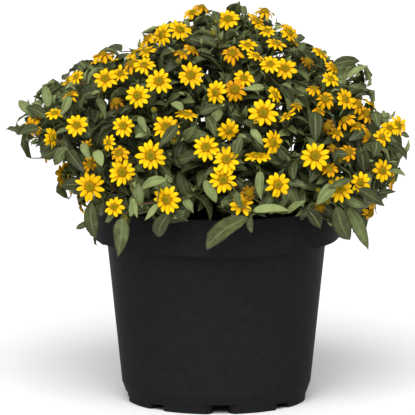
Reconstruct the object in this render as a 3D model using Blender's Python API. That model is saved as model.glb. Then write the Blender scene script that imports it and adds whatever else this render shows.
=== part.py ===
"""A creeping zinnia in a nursery pot.

Sizes are in millimetres and turn into metres where a mesh is made.
The origin is the pot's axis on the ground, +Z is up and -Y is the front.
"""

import math
import random
from dataclasses import dataclass, field, replace

import bmesh
import bpy
from mathutils import Vector
from mathutils.bvhtree import BVHTree

METRE = 0.001
GAP = 0.35
SWELLING = 1.3
NEARLY_ZERO = 0.05

# Pot
FOOT_RADIUS = 62.4
FOOT_RING_RADIUS = 63.0
FOOT_RING_HEIGHT = 5.4
WALL_FOOT_RADIUS = 65.8
WALL_FOOT_HEIGHT = 12.5
WALL_TOP_RADIUS = 76.5
WALL_TOP_HEIGHT = 113.6
SKIRT_RADIUS = 85.6
SKIRT_HEIGHT = 114.8
RIM_RADIUS = 85.0
RIM_HEIGHT = 140.8
RIM_ROUNDING = 1.2
WALL = 1.5
FLOOR_HEIGHT = 8.5
FLOOR_RADIUS = 62.6
POT_SIDES = 32
SHARP_FROM = math.radians(32.0)
CENTRE_PAD_RADIUS = 16.0

# Drainage notches, which are channels under the floor
CHANNEL_COUNT = 8
CHANNEL_WIDTH = 10.5
WIDE_MOUTH = 29.0
WIDE_HEIGHT = 6.7
NARROW_MOUTH = 15.0
NARROW_HEIGHT = 4.2
MOUTH_DEPTH = 9.0
FIRST_CHANNEL = math.radians(-87.0)
DRAIN_HOLE_RADIUS = 3.6
DRAIN_HOLE_PLACE = 44.0
DRAIN_HOLE_SIDES = 5

# Compost
SOIL_HEIGHT = 128.5
SOIL_SIDES = 24
SOIL_ROUGHNESS = 0.9
HOLE_DEPTH = 12.0
HOLE_ROOM = 1.1
FOOT_ROOM = 0.5
SOIL_ROOM = 0.75
SOIL_EDGE_DROP = 2.0
SOIL_EDGE_WIDTH = 6.0
SOIL_MIDDLE_RADIUS = 30.0

# Stems and twigs
STEM_COUNT = 34
STEM_SIDES = 3
STEM_RADIUS = 1.9
STEM_TIP_RADIUS = 1.3
STEM_STRAIGHT = 3.0
STEM_LEAN = 0.25
STEM_TURN = 0.6
LOWEST_STEM = -0.16
CROWN = Vector((-3.0, 0.0, 138.0))
CROWN_RADIUS = 58.0
TWIG_RADIUS = 1.05
TWIG_ROOT_RADIUS = 0.55
TWIG_BEND = 0.6
LEAF_TWIG_RADIUS = 0.9
NODE_SHARES = (0.5, 0.75)
NODE_LENGTH = 2.4
FORK_SHARES = (0.3, 0.62)
FORK_STRAYS = (0.0, 0.12, -0.12, 0.24)
FORK_FLOW = 0.4
BOW_SLACKS = (0.33, 0.22, 0.45)
FACE_PULL = 0.75
STRAIGHT_FROM = 0.6
ARRIVAL = 0.25
SHARPEST_BEND = -0.3
STEMS_TRIED = 5

# Heads
CALYX = 2.4
DISC_RISE = 1.5
DISC_SHARE = 0.36
DISC_FROM = 12.0
SIX_RAYS_FROM = 18.0
RAY_BLUNTNESS = 0.42
NOTCH_REACH = 0.44
NOTCH_DROOP = 0.3
FRESH_DROOP = 0.06
OLD_DROOP = 0.34
BUD_SIDES = 5
BUD_BELLY = 0.72
BUD_HEIGHT = 0.9

# Leaves
LEAF_LENGTH = 22.0
LEAF_WIDTH = 10.5
LEAF_THICKNESS = 0.9
LEAF_ARCH = 0.09
LEAF_DEPTH = 0.6
LEAF_SLOPES = (0.0, -4.0, 4.0, -8.0, 8.0)
LEAF_SHARES = (0.3, 0.88)
SHARE_STEPS = 20
ROOT_STRAY = 0.012
LEAF_PARENTS = 6
LIGHT_LIFT = 0.35
PAIR_EVERY = 3
PAIR_TURN = math.radians(30.0)
PAIR_LEANS = (0.0, 14.0, -14.0)
PAIR_SCALES = (1.0, 0.82)

# Heads and leaves at the sides and back, which a rule spreads
FRESH = "fresh"
OLD = "old"
FADED = "faded"
BUD = "bud"
BACK_HEADS = 100
BACK_HEAD_BAND = (0.98, -0.18)
BACK_DIAMETERS = (12.5, 14.5, 16.5, 18.0, 19.5, 21.0)
BACK_AGES = (FRESH, FRESH, FRESH, OLD)
BACK_SPACING = 20.5
BACK_SINK = 6.0
BACK_MARGIN = 0.4
DRAW_STEP = 2.0
DRAW_STEPS = 20
BACK_FROM = -4.0
BACK_LEAVES = 64
BACK_LEAF_BAND = (0.95, -0.25)
BACK_LEAF_DEPTHS = (4.0, 8.0, 1.0, 12.0, 16.0)
BACK_LEAF_TURNS = 6
BACK_LEAVES_FROM = 18.0

# Ways for a head or a leaf to give way along its line, in the order that they are tried
DEPTH_SHIFTS = (0.0, -3.0, 3.0, -6.0, 6.0, -9.0, 9.0, -13.0, 13.0, -17.0, 17.0)

# Sections of a blade: share of its length, share of its width, share of its thickness
BLADE_SECTIONS = ((0.36, 0.92, 1.0), (0.7, 0.8, 0.9))

# Colours of a stem's faces
GREEN = 0
YELLOW = 1
BROWN = 2
OLIVE = 3

# Directions, and the steps of the search for the mound along a line
UP = Vector((0.0, 0.0, 1.0))
MARCH_START = 170.0
MARCH_STEP = 0.5
MARCH_STEPS = 400

# Mound that the ends of the stems reach: its half sizes and middle
MOUND_MIDDLE = Vector((-5.0, 0.0, 165.0))
MOUND_ACROSS = 136.0
MOUND_DEEP = 120.0
MOUND_UP = 106.0
MOUND_DOWN = 75.0
MOUND_SKIRT = 0.78

# Front view: the photo looks a little down on the plant
VIEW_TILT = math.radians(9.7)
VIEW_RIGHT = Vector((1.0, 0.0, 0.0))
VIEW_UP = Vector((0.0, math.sin(VIEW_TILT), math.cos(VIEW_TILT)))
VIEW_NEAR = Vector((0.0, -math.cos(VIEW_TILT), math.sin(VIEW_TILT)))
AXIS_COLUMN = 216.3
GROUND_ROW = 397.6
PIXEL = 0.7

# Blooms seen from the front: column and row in the photo, diameter in millimetres,
# how far the face turns to the right and up in that view, and the age
FRONT_BLOOMS = [
    (193, 14, 15.0, -0.35, 0.75, FRESH), (202, 9, 13.0, 0.20, 0.90, OLD),
    (228, 21, 19.0, 0.00, 0.60, FRESH), (256, 23, 17.0, 0.50, 0.70, FRESH),
    (264, 13, 15.0, 0.10, 0.93, OLD), (163, 37, 18.0, -0.65, 0.30, FRESH),
    (180, 32, 18.5, 0.25, 0.60, FRESH), (148, 41, 14.0, -0.60, 0.70, OLD),
    (288, 34, 17.0, 0.65, 0.50, FRESH), (266, 33, 14.0, 0.10, 0.80, FRESH),
    (275, 46, 16.0, 0.35, 0.80, FRESH), (247, 48, 14.0, 0.00, 0.75, FRESH),
    (181, 56, 12.0, 0.20, 0.85, OLD), (192, 52, 13.0, 0.50, 0.75, OLD),
    (232, 56, 16.0, 0.00, 0.60, OLD), (255, 59, 14.0, 0.45, 0.75, FRESH),
    (319, 55, 15.0, 0.60, 0.70, FRESH), (148, 54, 14.0, -0.30, 0.80, FRESH),
    (104, 57, 17.0, -0.15, 0.96, OLD), (133, 66, 14.0, -0.35, 0.60, OLD),
    (145, 68, 16.5, 0.00, 0.65, FRESH), (269, 67, 16.0, 0.00, 0.60, FRESH),
    (284, 71, 17.0, 0.10, 0.35, FRESH), (306, 64, 12.0, 0.50, 0.60, FADED),
    (332, 69, 11.0, 0.60, 0.50, OLD), (122, 76, 14.5, -0.20, 0.50, FRESH),
    (78, 79, 13.0, -0.60, 0.50, FRESH), (107, 81, 18.0, -0.10, 0.40, FRESH),
    (160, 84, 19.6, 0.00, 0.35, FRESH), (191, 78, 19.6, 0.05, 0.30, FRESH),
    (329, 81, 14.0, 0.30, 0.60, FRESH), (243, 81, 16.0, 0.10, 0.55, FRESH),
    (312, 91, 12.0, 0.20, 0.80, OLD), (216, 95, 17.5, -0.40, 0.10, FRESH),
    (234, 92, 17.5, 0.00, 0.25, OLD), (72, 97, 12.0, -0.40, 0.60, OLD),
    (139, 98, 18.0, -0.25, 0.10, FRESH), (273, 97, 15.0, 0.75, 0.45, FRESH),
    (343, 101, 17.0, 0.55, 0.30, FRESH), (356, 106, 13.5, 0.60, 0.50, OLD),
    (323, 101, 15.0, 0.10, 0.40, OLD), (118, 104, 12.0, -0.30, 0.70, FADED),
    (295, 108, 10.0, 0.20, 0.70, OLD), (317, 113, 10.0, 0.20, 0.75, OLD),
    (262, 115, 21.5, 0.00, 0.10, FRESH), (57, 115, 14.0, -0.10, 0.80, FRESH),
    (364, 115, 14.5, 0.60, 0.40, OLD), (40, 118, 9.0, -0.60, 0.40, OLD),
    (187, 117, 17.0, 0.10, 0.90, FRESH), (286, 118, 14.0, -0.50, 0.75, FRESH),
    (343, 122, 16.0, -0.55, 0.75, OLD), (397, 126, 16.5, 0.60, 0.15, FRESH),
    (388, 129, 13.5, 0.20, 0.50, FRESH), (325, 128, 12.0, -0.40, 0.30, FADED),
    (334, 134, 11.5, 0.25, 0.45, OLD), (355, 127, 14.0, 0.20, 0.80, OLD),
    (365, 136, 13.0, 0.85, 0.10, OLD), (34, 129, 15.5, -0.60, -0.30, OLD),
    (54, 139, 16.0, 0.80, 0.05, FRESH), (79, 127, 17.0, -0.05, 0.35, FRESH),
    (125, 128, 16.5, 0.00, 0.30, FRESH), (167, 129, 20.0, 0.00, 0.45, FRESH),
    (228, 132, 17.0, 0.30, -0.45, FRESH), (380, 138, 13.5, 0.25, 0.20, FRESH),
    (271, 144, 18.5, 0.65, -0.05, FRESH), (111, 144, 12.0, -0.60, 0.10, FRESH),
    (89, 146, 9.0, 0.20, -0.75, OLD), (346, 153, 13.5, 0.30, 0.30, OLD),
    (330, 149, 8.5, 0.20, 0.80, FADED), (206, 149, 20.0, 0.00, 0.30, FRESH),
    (152, 157, 22.0, -0.10, 0.05, FRESH), (121, 154, 14.0, -0.20, 0.45, OLD),
    (226, 161, 19.5, 0.05, 0.25, FRESH), (256, 158, 21.5, 0.05, 0.93, FRESH),
    (313, 157, 21.5, -0.05, 0.05, FRESH), (92, 165, 12.5, 0.35, 0.10, OLD),
    (380, 171, 17.0, 0.45, -0.05, FRESH), (327, 170, 13.5, 0.05, 0.55, OLD),
    (124, 173, 20.5, 0.00, 0.05, FRESH), (223, 180, 20.5, 0.00, -0.05, FRESH),
    (276, 185, 19.0, 0.25, -0.10, FRESH), (358, 183, 15.5, 0.20, 0.05, FRESH),
    (92, 187, 21.5, 0.00, 0.00, FRESH), (337, 189, 20.0, 0.00, 0.10, FRESH),
    (248, 193, 12.0, 0.30, 0.20, FADED), (168, 200, 21.0, -0.35, 0.00, FRESH),
    (241, 205, 17.0, 0.00, 0.35, FRESH), (116, 207, 15.0, -0.15, 0.10, FRESH),
    (318, 208, 9.0, 0.10, -0.30, FADED), (179, 64, 6.0, 0.00, 0.60, BUD),
    (126, 218, 6.5, 0.00, -0.30, BUD), (213, 36, 6.0, 0.00, 0.80, BUD),
    (104, 117, 5.0, 0.10, 0.60, BUD), (316, 190, 5.0, -0.30, 0.00, BUD),
    (325, 201, 6.0, -0.10, -0.30, BUD), (337, 161, 5.0, 0.00, 0.10, BUD),
    (174, 142, 6.0, 0.20, 0.10, BUD), (155, 112, 5.5, 0.10, 0.60, BUD),
]

# The outline of the foliage in the photo: the row of its upper and of its lower edge at a column
UPPER_EDGE = [
    (5, 126), (14, 120), (24, 100), (44, 84), (64, 80), (74, 62), (94, 57), (104, 50), (124, 54),
    (144, 31), (164, 26), (184, 16), (194, 8), (204, 7), (214, 11), (239, 2), (254, 8), (274, 21),
    (294, 32), (304, 44), (324, 49), (334, 57), (364, 63), (374, 100), (394, 114), (410, 126),
]
LOWER_EDGE = [
    (5, 131), (16, 134), (34, 149), (46, 160), (58, 168), (64, 188), (76, 205), (90, 237), (104, 243),
    (126, 257), (140, 225), (160, 238), (190, 222), (204, 249), (232, 240), (252, 232), (290, 216),
    (318, 229), (346, 242), (366, 250), (370, 212), (382, 207), (394, 194), (400, 178), (410, 140),
]

# Leaves that stand out in the front view: column and row of the root, then of the tip,
# width in millimetres, how far the blade arches, and how far it lies in front of the mound
FRONT_LEAVES = [
    (237, 17, 239, 2, 4.5, 1.0, 0), (218, 24, 213, 13, 6.0, 0.0, 0),
    (299, 56, 304, 44, 5.5, 0.5, 0), (330, 67, 358, 63, 7.5, 2.0, 2),
    (345, 80, 367, 67, 5.5, 1.0, 3), (346, 88, 366, 93, 3.5, 4.0, 4),
    (339, 67, 342, 94, 8.0, 1.5, 3), (50, 109, 45, 85, 7.5, 1.0, 3),
    (36, 118, 20, 102, 7.0, 1.5, 1), (48, 119, 26, 108, 8.5, 1.5, 0),
    (42, 130, 19, 136, 8.0, 1.0, 0), (22, 133, 5, 129, 4.5, 1.0, -1),
    (60, 140, 35, 148, 9.0, 1.0, 0), (61, 149, 43, 158, 8.0, 1.0, 2),
    (70, 148, 57, 166, 9.5, 2.0, 3), (70, 150, 87, 173, 9.0, 2.5, 2),
    (84, 145, 92, 159, 6.0, 1.0, 5), (98, 152, 104, 167, 7.5, 1.0, 6),
    (84, 185, 64, 186, 10.5, 1.5, -2), (88, 196, 80, 204, 4.0, 0.5, -1),
    (93, 201, 98, 237, 10.5, 2.0, 2), (92, 221, 78, 228, 4.5, 0.5, 0),
    (124, 217, 119, 257, 12.0, 3.0, 4), (135, 198, 132, 217, 4.5, 1.0, 5),
    (136, 199, 139, 218, 4.0, 1.0, 3), (158, 204, 146, 220, 4.5, 1.5, 5),
    (168, 181, 143, 190, 7.0, 3.0, 6), (172, 212, 159, 237, 10.5, 2.0, 3),
    (152, 208, 189, 221, 9.0, 1.5, 1), (249, 217, 204, 249, 13.0, 3.0, 4),
    (250, 214, 251, 232, 5.0, 1.0, 1), (252, 211, 289, 210, 6.5, 1.5, 5),
    (286, 213, 303, 201, 5.0, 1.0, 4), (306, 210, 318, 228, 10.0, 1.5, 0),
    (334, 206, 348, 240, 13.0, 2.0, 3), (345, 206, 367, 250, 9.5, 2.5, 1),
    (341, 198, 365, 207, 6.5, 1.0, 1), (356, 189, 384, 206, 9.0, 1.5, 2),
    (374, 194, 394, 192, 4.5, 1.0, -1), (386, 171, 404, 177, 4.0, 1.5, 0),
    (381, 184, 393, 177, 3.5, 0.5, -1), (388, 142, 404, 161, 5.0, 5.0, 0),
    (384, 147, 398, 152, 5.0, 1.0, 0), (400, 133, 409, 137, 4.0, 0.5, -1),
    (184, 112, 171, 106, 6.0, 1.0, 4), (141, 118, 148, 135, 5.5, 2.0, 5),
    (178, 127, 159, 148, 7.5, 2.5, 10), (206, 118, 215, 139, 7.0, 2.5, 4),
    (199, 116, 223, 109, 7.5, 1.5, 2), (235, 155, 241, 138, 8.0, 1.0, 5),
    (250, 131, 262, 147, 6.0, 1.5, 6), (263, 89, 241, 92, 5.0, 3.0, 6),
    (313, 114, 313, 143, 10.5, 2.0, 4), (331, 186, 314, 204, 9.0, 1.5, 8),
    (348, 180, 326, 188, 5.5, 1.5, 10), (235, 192, 240, 209, 5.0, 1.5, 9),
    (204, 181, 216, 203, 8.0, 1.5, 5), (259, 172, 260, 200, 6.5, 2.0, 6),
    (186, 200, 194, 213, 7.0, 1.0, 3), (372, 113, 376, 128, 8.0, 1.0, 3),
    (361, 131, 346, 141, 8.0, 1.5, 5), (357, 147, 362, 174, 9.5, 2.0, 3),
    (374, 142, 371, 158, 8.0, 1.0, 4), (328, 154, 345, 156, 6.5, 1.0, 7),
    (72, 98, 62, 118, 6.5, 1.0, 6), (100, 100, 107, 120, 6.0, 1.0, 4),
]


class Shape:
    """One closed piece: its corners in millimetres, its faces and their colours."""

    def __init__(self, owner):
        self.owner = owner
        self.points = []
        self.faces = []
        self.tints = []
        self.marks = None
        self.stalk_faces = 0

    def add_face(self, corners, tint):
        """Add one face by its corner numbers."""
        self.faces.append(tuple(corners))
        self.tints.append(tint)

    def add_ring(self, ring):
        """Add the corners of a ring and give their numbers."""
        first = len(self.points)
        self.points.extend(ring)
        return list(range(first, first + len(ring)))

    def bridge(self, low, high, tint, left_open=()):
        """Close the band between two rings, or a ring and a point, apart from faces left open."""
        if len(low) == 1 or len(high) == 1:
            ring = high if len(low) == 1 else low
            for index, corner in enumerate(ring):
                after = ring[(index + 1) % len(ring)]
                fan = (low[0], after, corner) if len(low) == 1 else (corner, after, high[0])
                self.add_face(fan, tint)
            return
        i = 0
        j = 0
        while i < len(low) or j < len(high):
            a = low[i % len(low)]
            b = high[j % len(high)]
            if (i + 1) * len(high) <= (j + 1) * len(low):
                if i not in left_open:
                    self.add_face((a, low[(i + 1) % len(low)], b), tint)
                i += 1
            else:
                if j not in left_open:
                    self.add_face((a, high[(j + 1) % len(high)], b), tint)
                j += 1

    def grow(self, corners, rings, tints):
        """Carry on from a ring of corners through more rings; give the last ring's numbers."""
        before = [self.points[corner] for corner in corners]
        for index, ring in enumerate(rings):
            placed = aligned(ring, before)
            numbers = self.add_ring(placed)
            self.bridge(corners, numbers, tints[min(index, len(tints) - 1)])
            before = placed
            corners = numbers
        return corners

    def blades(self):
        """An open shape of only the faces that grew from the stalk's sides."""
        part = Shape(self.owner)
        part.points = self.points
        part.faces = self.faces[self.stalk_faces:]
        return part.finish()

    def finish(self):
        """Work out the search tree and the box that the clearance tests use."""
        self.tree = BVHTree.FromPolygons(self.points, self.faces)
        used = {corner for face in self.faces for corner in face}
        self.low = [min(self.points[corner][axis] for corner in used) for axis in range(3)]
        self.high = [max(self.points[corner][axis] for corner in used) for axis in range(3)]
        return self

    def samples(self):
        """The corners in use and the middles of the edges between them."""
        if self.marks is None:
            edges = set()
            for face in self.faces:
                for one, other in zip(face, face[1:] + face[:1]):
                    edges.add((min(one, other), max(one, other)))
            self.marks = [self.points[corner] for corner in {corner for edge in edges for corner in edge}]
            self.marks += [(self.points[one] + self.points[other]) * 0.5 for one, other in edges]
        return self.marks

    def comes_near(self, other):
        """Whether a corner or the middle of an edge lies within the gap of another shape."""
        for point in self.samples():
            if all(other.low[axis] - GAP < point[axis] < other.high[axis] + GAP for axis in range(3)):
                if other.tree.find_nearest(point, GAP)[0] is not None:
                    return True
        return False

    def crosses_itself(self):
        """Whether two faces that share no corner meet."""
        for one, other in self.tree.overlap(self.tree):
            if one < other and not set(self.faces[one]) & set(self.faces[other]):
                return True
        return False

    def swollen(self):
        """A search tree of the shape with each corner moved out past the gap."""
        pushes = [Vector() for _ in self.points]
        for face in self.faces:
            a, b, c = (self.points[corner] for corner in face[:3])
            normal = (b - a).cross(c - a)
            if normal.length > 0.0:
                normal.normalize()
            for corner in face:
                pushes[corner] += normal
        moved = []
        for point, push in zip(self.points, pushes):
            step = push.normalized() * GAP * SWELLING if push.length > 0.0 else push
            moved.append(point + step)
        return BVHTree.FromPolygons(moved, self.faces)


def corner_ways(ring):
    """The directions from a ring's middle to its corners."""
    middle = sum(ring, Vector()) / len(ring)
    return [(corner - middle).normalized() for corner in ring]


def aligned(ring, previous):
    """Turn a ring so that its corners point the same ways as the previous ring's."""
    if len(ring) == 1 or len(previous) == 1:
        return ring
    before = corner_ways(previous)
    ways = corner_ways(ring)

    def match(start):
        total = 0.0
        for index, way in enumerate(before):
            total += way.dot(ways[(start + index * len(ring) // len(before)) % len(ring)])
        return total

    start = max(range(len(ring)), key=match)
    return ring[start:] + ring[:start]


def loft(owner, rings, tints, sprouts=()):
    """A closed shape through rings that run anticlockwise about the way from first to last.

    Each sprout is (band, side, rings): a blade that grows out of one side of one band.
    """
    shape = Shape(owner)
    corners = shape.add_ring(rings[0])
    before = rings[0]
    mouths = []
    if len(corners) > 2:
        shape.add_face(reversed(corners), tints[0])
    for band, ring in enumerate(rings[1:]):
        placed = aligned(ring, before)
        numbers = shape.add_ring(placed)
        open_sides = [side for at, side, _ in sprouts if at == band]
        shape.bridge(corners, numbers, tints[min(band, len(tints) - 1)], open_sides)
        for side in open_sides:
            after = (side + 1) % len(corners)
            mouths.append([corners[side], corners[after], numbers[after], numbers[side]])
        before = placed
        corners = numbers
    if len(corners) > 2:
        shape.add_face(corners, tints[-1])
    shape.stalk_faces = len(shape.faces)
    for mouth, (_, _, blade) in zip(mouths, sprouts):
        shape.grow(mouth, blade, tints[:1])
    return shape.finish()


def mound_girth(height):
    """How wide the mound is at a height, as a share of its full width."""
    rise = height - MOUND_MIDDLE.z
    if rise >= 0.0:
        return math.sqrt(max(0.0, 1.0 - (rise / MOUND_UP) ** 2))
    return max(MOUND_SKIRT, math.sqrt(max(0.0, 1.0 - (rise / MOUND_DOWN) ** 2)))


def mound_excess(point):
    """Below zero inside the mound, above zero outside it."""
    across = (point.x - MOUND_MIDDLE.x) / MOUND_ACROSS
    deep = (point.y - MOUND_MIDDLE.y) / MOUND_DEEP
    return across ** 2 + deep ** 2 - mound_girth(point.z) ** 2


def mound_normal(point):
    """The way that the mound's surface faces near a point."""
    rise = point.z - MOUND_MIDDLE.z
    half = MOUND_UP if rise >= 0.0 else MOUND_DOWN
    return Vector((
        (point.x - MOUND_MIDDLE.x) / MOUND_ACROSS ** 2,
        (point.y - MOUND_MIDDLE.y) / MOUND_DEEP ** 2,
        rise / half ** 2,
    )).normalized()


def mound_point(origin, direction):
    """Where a line meets the mound from outside, or the line's closest point to it."""
    best = None
    least = None
    for step in range(MARCH_STEPS):
        point = origin + direction * (MARCH_START - MARCH_STEP * step)
        excess = mound_excess(point)
        if excess <= 0.0:
            return point
        if least is None or excess < least:
            least = excess
            best = point
    return best


def seen_at(column, row):
    """The point of the mound that the front view shows at a pixel."""
    across = (column - AXIS_COLUMN) * PIXEL
    up = (GROUND_ROW - row) * PIXEL
    return mound_point(VIEW_RIGHT * across + VIEW_UP * up, VIEW_NEAR)


def edge_row(edge, column):
    """The row of an edge of the foliage at a column of the front view, or None beyond its ends."""
    for (left, first), (right, last) in zip(edge, edge[1:]):
        if left <= column <= right:
            return first + (last - first) * (column - left) / (right - left)
    return None


def inside_outline(place, room):
    """Whether the front view shows a place inside the foliage's outline, with room to spare."""
    column = AXIS_COLUMN + place.dot(VIEW_RIGHT) / PIXEL
    row = GROUND_ROW - place.dot(VIEW_UP) / PIXEL
    upper = edge_row(UPPER_EDGE, column)
    lower = edge_row(LOWER_EDGE, column)
    if upper is None or lower is None:
        return False
    behind_pot = place.y > 0.0 and abs(place.x) < SKIRT_RADIUS
    return row > upper + room / PIXEL and (behind_pot or row < lower - room / PIXEL)


def drawn_in(place, out, room):
    """A place, moved towards the crown until the front view shows it inside the outline."""
    for _ in range(DRAW_STEPS):
        if inside_outline(place, room):
            break
        place = place - out * DRAW_STEP
    return place


def faced(right, up):
    """The direction that turns a given share to the right and up in the front view."""
    near = math.sqrt(max(0.0, 1.0 - right ** 2 - up ** 2))
    return (VIEW_RIGHT * right + VIEW_UP * up + VIEW_NEAR * near).normalized()


def golden_ways(count, top, bottom, turn):
    """Directions spread evenly over a ball between two heights."""
    golden = math.pi * (3.0 - math.sqrt(5.0))
    ways = []
    for index in range(count):
        height = top - (top - bottom) * (index + 0.5) / count
        spread = math.sqrt(1.0 - height * height)
        angle = golden * index + turn
        ways.append(Vector((spread * math.cos(angle), spread * math.sin(angle), height)))
    return ways


def sideways(direction):
    """A direction square to the one given, level where it can be."""
    side = UP.cross(direction)
    if side.length < NEARLY_ZERO:
        side = VIEW_RIGHT.cross(direction)
    return side.normalized()


def ring_about(middle, direction, radius, sides, turn=0.0):
    """A regular ring square to a direction, anticlockwise about it."""
    u = sideways(direction)
    v = direction.cross(u)
    ring = []
    for index in range(sides):
        angle = turn + 2.0 * math.pi * index / sides
        ring.append(middle + (u * math.cos(angle) + v * math.sin(angle)) * radius)
    return ring


def carried_rings(points, radii, sides):
    """A ring for each radius at the first points of a path, carried along without twist."""
    rings = []
    u = None
    for index, radius in enumerate(radii):
        along = (points[index + 1] - points[max(0, index - 1)]).normalized()
        if u is None:
            u = sideways(along)
        else:
            u = (u - along * u.dot(along)).normalized()
        v = along.cross(u)
        ring = []
        for corner in range(sides):
            angle = 2.0 * math.pi * corner / sides
            ring.append(points[index] + (u * math.cos(angle) + v * math.sin(angle)) * radius)
        rings.append(ring)
    return rings


def bow_point(bow, t):
    """The point at a share of a bow, which is four control points."""
    s = 1.0 - t
    weights = (s ** 3, 3.0 * s * s * t, 3.0 * s * t * t, t ** 3)
    return sum((point * weight for point, weight in zip(bow, weights)), Vector())


def bow_between(start, leave, finish, arrive, slack):
    """The control points of a smooth bow that leaves and arrives in the given directions."""
    reach = (finish - start).length * slack
    return [start, start + leave * reach, finish - arrive * reach, finish]


def along_path(points, share):
    """The point and the direction at a share of a path's length."""
    lengths = [(points[i + 1] - points[i]).length for i in range(len(points) - 1)]
    wanted = share * sum(lengths)
    direction = None
    for index, length in enumerate(lengths):
        direction = (points[index + 1] - points[index]).normalized()
        if wanted <= length:
            return points[index] + direction * wanted, direction
        wanted -= length
    return points[-1], direction


def nearest_share(points, target):
    """The share of a path's length whose point lies closest to a target."""
    low, high = LEAF_SHARES
    shares = [low + (high - low) * step / SHARE_STEPS for step in range(SHARE_STEPS + 1)]
    return min(shares, key=lambda share: (along_path(points, share)[0] - target).length)


def petal_count(diameter):
    """How many blunt rays a head of this size gets."""
    return 6 if diameter >= SIX_RAYS_FROM else 5


def head_rings(place, face, diameter, age, turn):
    """Rings of a flower head from its collar on the stalk to the top of its disc."""
    collar = ring_about(place - face * CALYX, face, TWIG_RADIUS, STEM_SIDES)
    u = sideways(face)
    v = face.cross(u)
    radius = 0.5 * diameter
    if age in (BUD, FADED):
        belly = ring_about(place, face, radius * BUD_BELLY, BUD_SIDES, turn)
        return [collar, belly, [place + face * radius * BUD_HEIGHT]]
    droop = OLD_DROOP if age == OLD else FRESH_DROOP
    rays = petal_count(diameter)
    rim = []
    for ray in range(rays):
        middle = turn + 2.0 * math.pi * ray / rays
        half = math.pi / rays
        for angle, reach, fall in (
            (middle - half, NOTCH_REACH, NOTCH_DROOP * droop),
            (middle - RAY_BLUNTNESS * half, 1.0, droop),
            (middle + RAY_BLUNTNESS * half, 1.0, droop),
        ):
            out = u * math.cos(angle) + v * math.sin(angle)
            rim.append(place + out * radius * reach - face * radius * fall)
    top = place + face * DISC_RISE
    if diameter < DISC_FROM:
        return [collar, rim, [top]]
    return [collar, rim, ring_about(top, face, radius * DISC_SHARE, rays, turn)]


def blade_frame(root, tip, light_hint):
    """The way along a blade and the way its upper side faces."""
    along = (tip - root).normalized()
    light = light_hint - along * light_hint.dot(along)
    if light.length < NEARLY_ZERO:
        light = sideways(along)
    return along, light.normalized()


def blade_rings(leaf):
    """Three-cornered sections of a blade, two edges on top and the keel below, and its tip."""
    along, light = blade_frame(leaf.root, leaf.tip, leaf.light)
    side = light.cross(along).normalized()
    rings = []
    for share, wide, deep in BLADE_SECTIONS:
        lift = 4.0 * share * (1.0 - share) * leaf.arch
        middle = leaf.root.lerp(leaf.tip, share) + light * lift
        half = side * (0.5 * leaf.width * wide)
        rings.append([middle + half, middle - half, middle - light * (LEAF_THICKNESS * deep)])
    rings.append([leaf.tip])
    return rings


@dataclass
class Leaf:
    """A blade from its root to its tip, in millimetres."""

    root: Vector
    tip: Vector
    light: Vector
    width: float
    arch: float


@dataclass
class Head:
    """A flower head, the line it may move along and the way it faces."""

    place: Vector
    line: Vector
    face: Vector
    diameter: float
    age: str

    def collar(self):
        """Where the stalk meets the head."""
        return self.place - self.face * CALYX


@dataclass
class Shoot:
    """A stalk with what it ends in, and the pair of leaves that may stand on it."""

    owner: int
    path: list
    radii: list
    node: int
    head: Head = None
    turn: float = 0.0
    leaf: Leaf = None
    pair: list = field(default_factory=list)

    def arrives(self):
        """Whether the stalk comes to its head from behind the head's face."""
        return (self.path[-1] - self.path[-2]).normalized().dot(self.head.face) > ARRIVAL

    def rings(self):
        """Every ring of the stalk and of the head or the leaf at its end."""
        stalk = carried_rings(self.path, self.radii, STEM_SIDES)
        if self.leaf:
            return stalk + blade_rings(self.leaf)
        head = self.head
        return stalk + head_rings(head.place, head.face, head.diameter, head.age, self.turn)

    def tints(self):
        """The colour of each band."""
        bands = len(self.radii)
        if self.leaf or self.head.age == BUD:
            return [GREEN]
        if self.head.age == FADED:
            return [GREEN] * bands + [BROWN, BROWN]
        return [GREEN] * bands + [YELLOW, YELLOW] + [OLIVE] * (self.head.diameter >= DISC_FROM)

    def shape(self):
        """The closed shape of the stalk, its end and its pair of leaves."""
        sprouts = [(self.node, side, blade_rings(leaf)) for side, leaf in self.pair]
        return loft(self.owner, self.rings(), self.tints(), sprouts)


class Layout:
    """Places every piece of the plant and keeps the pieces apart."""

    def __init__(self, obstacles):
        self.shapes = list(obstacles)

    def is_clear(self, shape, allowed):
        """Whether a shape keeps its gap to all shapes, apart from those allowed."""
        if shape.crosses_itself():
            return False
        near = []
        for other in self.shapes:
            if other in allowed:
                continue
            if all(
                shape.low[axis] - GAP < other.high[axis] and shape.high[axis] + GAP > other.low[axis]
                for axis in range(3)
            ):
                near.append(other)
        if not near:
            return True
        swollen = shape.swollen()
        for other in near:
            if swollen.overlap(other.tree) or shape.tree.overlap(other.tree):
                return False
            if shape.comes_near(other) or other.comes_near(shape):
                return False
        return True

    def add(self, candidates):
        """Keep the first candidate that is clear, if there is one."""
        for shape, kept, allowed in candidates:
            if self.is_clear(shape, allowed):
                self.shapes.append(shape)
                return shape, kept
        return None, None


def front_heads():
    """The heads that the front view shows; each may move along its line of sight."""
    heads = []
    for column, row, diameter, right, up, age in FRONT_BLOOMS:
        place = seen_at(column, row)
        heads.append(Head(place, VIEW_NEAR, faced(right, up), diameter, age))
    return heads


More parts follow.
